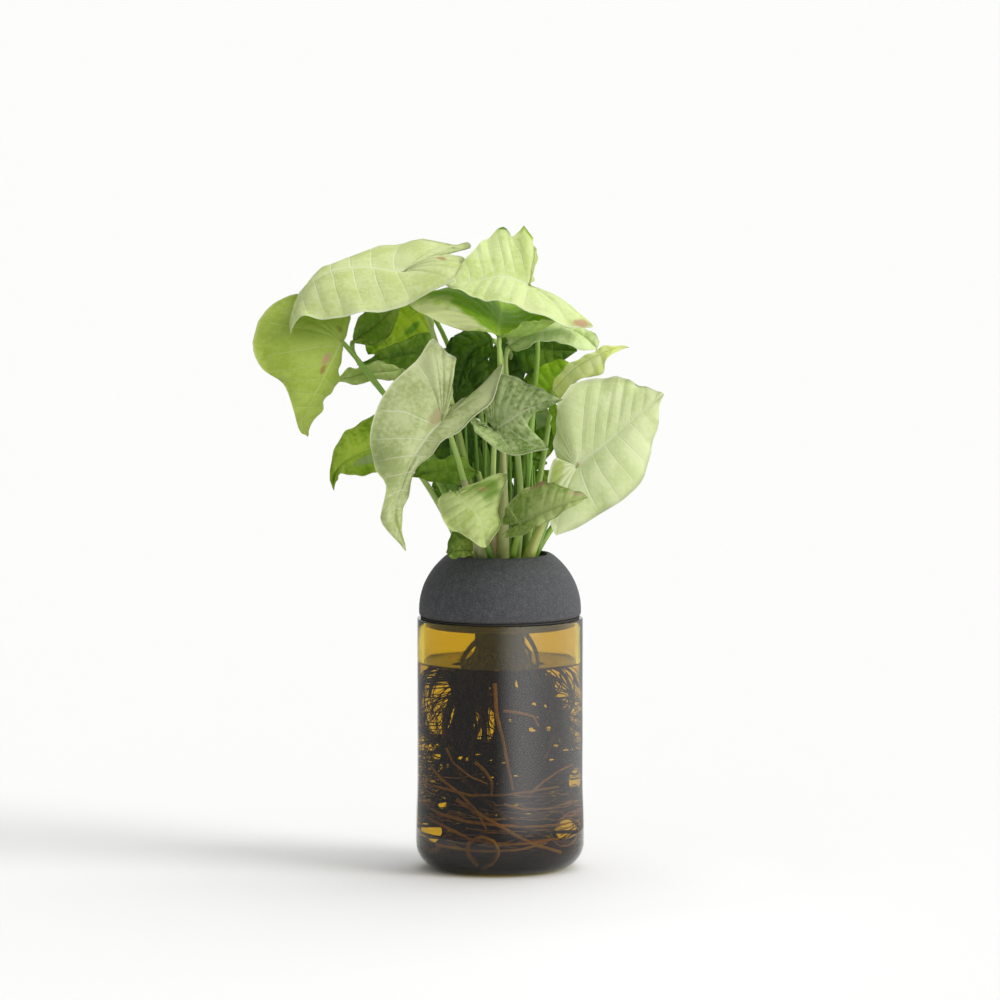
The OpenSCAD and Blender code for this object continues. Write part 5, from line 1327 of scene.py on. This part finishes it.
# Sheaths at the foot of some stalks: how much wider they are, and their tone
SHEATHS = {
    6: (1.6, (0.52, 0.54, 0.24)), 3: (1.3, (0.46, 0.50, 0.16)), 7: (1.7, (0.56, 0.46, 0.22)),
    8: (1.4, (0.50, 0.56, 0.12)), 1: (1.2, (0.30, 0.42, 0.06)), 18: (1.2, (0.10, 0.24, 0.01)),
    24: (1.2, (0.16, 0.30, 0.02)), 20: (1.2, (0.12, 0.26, 0.01)), 22: (1.0, (0.20, 0.34, 0.03)),
    27: (1.2, (0.10, 0.22, 0.01))}
SHEATH_END = 0.42
UNDERSIDE = (0.62, 0.72, 0.34)
DARK_LEAVES = (18, 20, 24, 28, 29)
for number in range(1, 30):
    tones, vein_mix, glow, patches = SHADES.get(number, DARK if number in DARK_LEAVES else MID)
    shape = DRAWN[number] if number in DRAWN else RuledLeaf(BACK_ROWS[number])
    leaf = f"leaf_{number:02d}"
    upper = blade_skin(leaf + "_upper", tones, vein_mix, glow, patches, 0.5)
    paler = [tuple(0.72 * c + 0.28 * d for c, d in zip(tone, UNDERSIDE)) for tone in tones]
    lower = blade_skin(leaf + "_lower", paler, vein_mix, glow, [], 0.65)
    path, u = stalk_path(shape, 28)
    radii = STALK_R + STALK_FOOT * (1 - u) ** 1.2 + STALK_NECK * np.exp(-((u - NECK_AT) / NECK_LONG) ** 2)
    green = stalk_skin(leaf + "_stalk", *STALKS[number % 3])
    pieces = [leaf_piece(f"leaf_blade_{number:02d}", shape, 0.9, number, (upper, lower)),
              tubes(f"leaf_stalk_{number:02d}", [(path, radii)], 10, green)]
    if number in SHEATHS:
        wider, tone = SHEATHS[number]
        low = u < SHEATH_END
        girth = radii + wider * smooth((SHEATH_END - u) / SHEATH_END) ** 0.7
        pale = stalk_skin(leaf + "_sheath", tone, tuple(0.6 * c for c in tone))
        pieces.append(tubes(f"leaf_sheath_{number:02d}", [(path[low], girth[low])], 14, pale))
    for piece in pieces:
        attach(piece, "plant")
        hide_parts(leaf)

# Young leaves. Small dark blades on short stalks fill the middle of the plant, behind the
# large ones. Rows: midrib, left margin, right margin and the stalk's foot.
YOUNG = [
    ([(520, 474, 26), (534, 452, 28), (556, 430, 26)], [(516, 462, 28), (524, 444, 30), (540, 430, 28)],
     [(530, 474, 22), (545, 462, 22), (556, 446, 24)], (0.2, 0.6)),
    ([(500, 520, 20), (484, 500, 24), (468, 478, 24)], [(488, 518, 20), (474, 505, 22), (465, 492, 23)],
     [(504, 506, 22), (500, 488, 26), (484, 476, 26)], (0.0, 0.8)),
    ([(520, 506, 16), (538, 490, 18), (560, 474, 18)], [(518, 494, 19), (526, 480, 21), (542, 472, 20)],
     [(530, 508, 14), (546, 502, 14), (558, 488, 16)], (0.3, 0.4)),
    ([(505, 445, 28), (500, 420, 32), (508, 392, 32)], [(492, 440, 28), (484, 420, 31), (494, 400, 32)],
     [(516, 436, 28), (522, 414, 31), (516, 398, 32)], (0.1, 0.7)),
    ([(535, 404, 8), (552, 386, 10), (574, 366, 10)], [(530, 390, 10), (536, 372, 12), (556, 360, 12)],
     [(546, 404, 7), (564, 398, 6), (576, 382, 8)], (0.5, 0.2)),
    ([(470, 434, 32), (458, 410, 35), (446, 384, 34)], [(458, 438, 32), (442, 420, 34), (437, 400, 35)],
     [(478, 420, 32), (476, 400, 34), (460, 384, 35)], (-0.4, 0.7)),
    ([(480, 502, 9), (458, 494, 6), (432, 486, 2)], [(470, 510, 7), (452, 508, 5), (438, 498, 3)],
     [(470, 486, 9), (450, 476, 8), (436, 474, 5)], (-0.3, 0.3)),
    ([(468, 486, 24), (477, 456, 27), (487, 424, 27)], [(452, 478, 24), (455, 452, 27), (470, 432, 28)],
     [(482, 478, 24), (497, 456, 27), (500, 434, 28)], (-0.1, 0.8)),
    ([(508, 484, 30), (514, 446, 33), (520, 408, 34)], [(494, 474, 30), (496, 446, 33), (506, 420, 34)],
     [(522, 474, 30), (534, 446, 33), (534, 420, 34)], (0.1, 0.8)),
    ([(508, 402, 22), (506, 372, 25), (514, 336, 25)], [(494, 394, 22), (487, 372, 25), (496, 346, 25)],
     [(520, 394, 22), (526, 372, 25), (530, 348, 25)], (0.1, 0.6)),
    ([(528, 414, 24), (542, 390, 27), (560, 364, 27)], [(520, 398, 24), (526, 378, 27), (546, 362, 27)],
     [(542, 414, 22), (558, 398, 25), (566, 378, 27)], (0.3, 0.6)),
    ([(478, 398, 12), (464, 368, 14), (452, 338, 14)], [(464, 392, 12), (450, 370, 14), (446, 350, 14)],
     [(488, 386, 12), (488, 360, 14), (470, 340, 14)], (-0.2, 0.5))]
YOUNG_SHARES = (0.15, 0.5, 0.8)
YOUNG_STALK_R, YOUNG_STALK_FOOT = 0.8, 0.6
YOUNG_SHADES = [MID, DARK, MID, DARK, SHADES[23], DARK, MID, DARK, MID, DARK, MID, DARK]
for number, (row, shades) in enumerate(zip(YOUNG, YOUNG_SHADES), 1):
    mid, left, right, foot = row
    left, right = ([(*place, share) for place, share in zip(side, YOUNG_SHARES)] for side in (left, right))
    shape = DrawnLeaf(mid, left, right, SMALL_BULGE, foot)
    tones, vein_mix, glow, _ = shades
    skin = blade_skin(f"young_{number:02d}_leaf", tones, vein_mix, glow, [], 0.5)
    blade = leaf_piece(f"young_blade_{number:02d}", shape, 0.6, number + 40, (skin, skin))
    path, u = stalk_path(shape, 20)
    green = stalk_skin(f"young_{number:02d}_stalk", *STALKS[number % 3])
    stalk = tubes(f"young_stalk_{number:02d}", [(path, YOUNG_STALK_R + YOUNG_STALK_FOOT * (1 - u))], 8, green)
    for piece in (blade, stalk):
        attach(piece, "plant")

# Young stems. Thin dark stalks that have no leaf of their own yet. They rise from the plug
# and fill the back of the mouth between the large ones.
YOUNG_STEMS, STEM_STEPS = 26, 14
stems = []
for _ in range(YOUNG_STEMS):
    turn, out = math.radians(dice.uniform(-20, 200)), 0.95 * math.sqrt(dice.uniform(0.05, 1))
    foot = np.array([STEM_ROOM_R * out * math.cos(turn), STEM_ROOM_R * out * math.sin(turn), STEM_Z])
    top = foot * (1.5, 1.2, 0) + (dice.normal(0, 4), 3, dice.uniform(168, 215))
    u = np.linspace(0, 1, STEM_STEPS)[:, None]
    path = foot * (1 - u) + top * u + np.sin(u * math.pi) * np.array([foot[0] * 0.25, foot[1] * 0.25, 0])
    stems.append((path, dice.uniform(1.0, 1.7) * (1 - 0.6 * u[:, 0])))
stem_green = stalk_skin("young_stem_green", (0.10, 0.20, 0.01), (0.16, 0.32, 0.02))
young_stems = tubes("young_stems", stems, 8, stem_green)
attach(young_stems, "plant")

low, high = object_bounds()
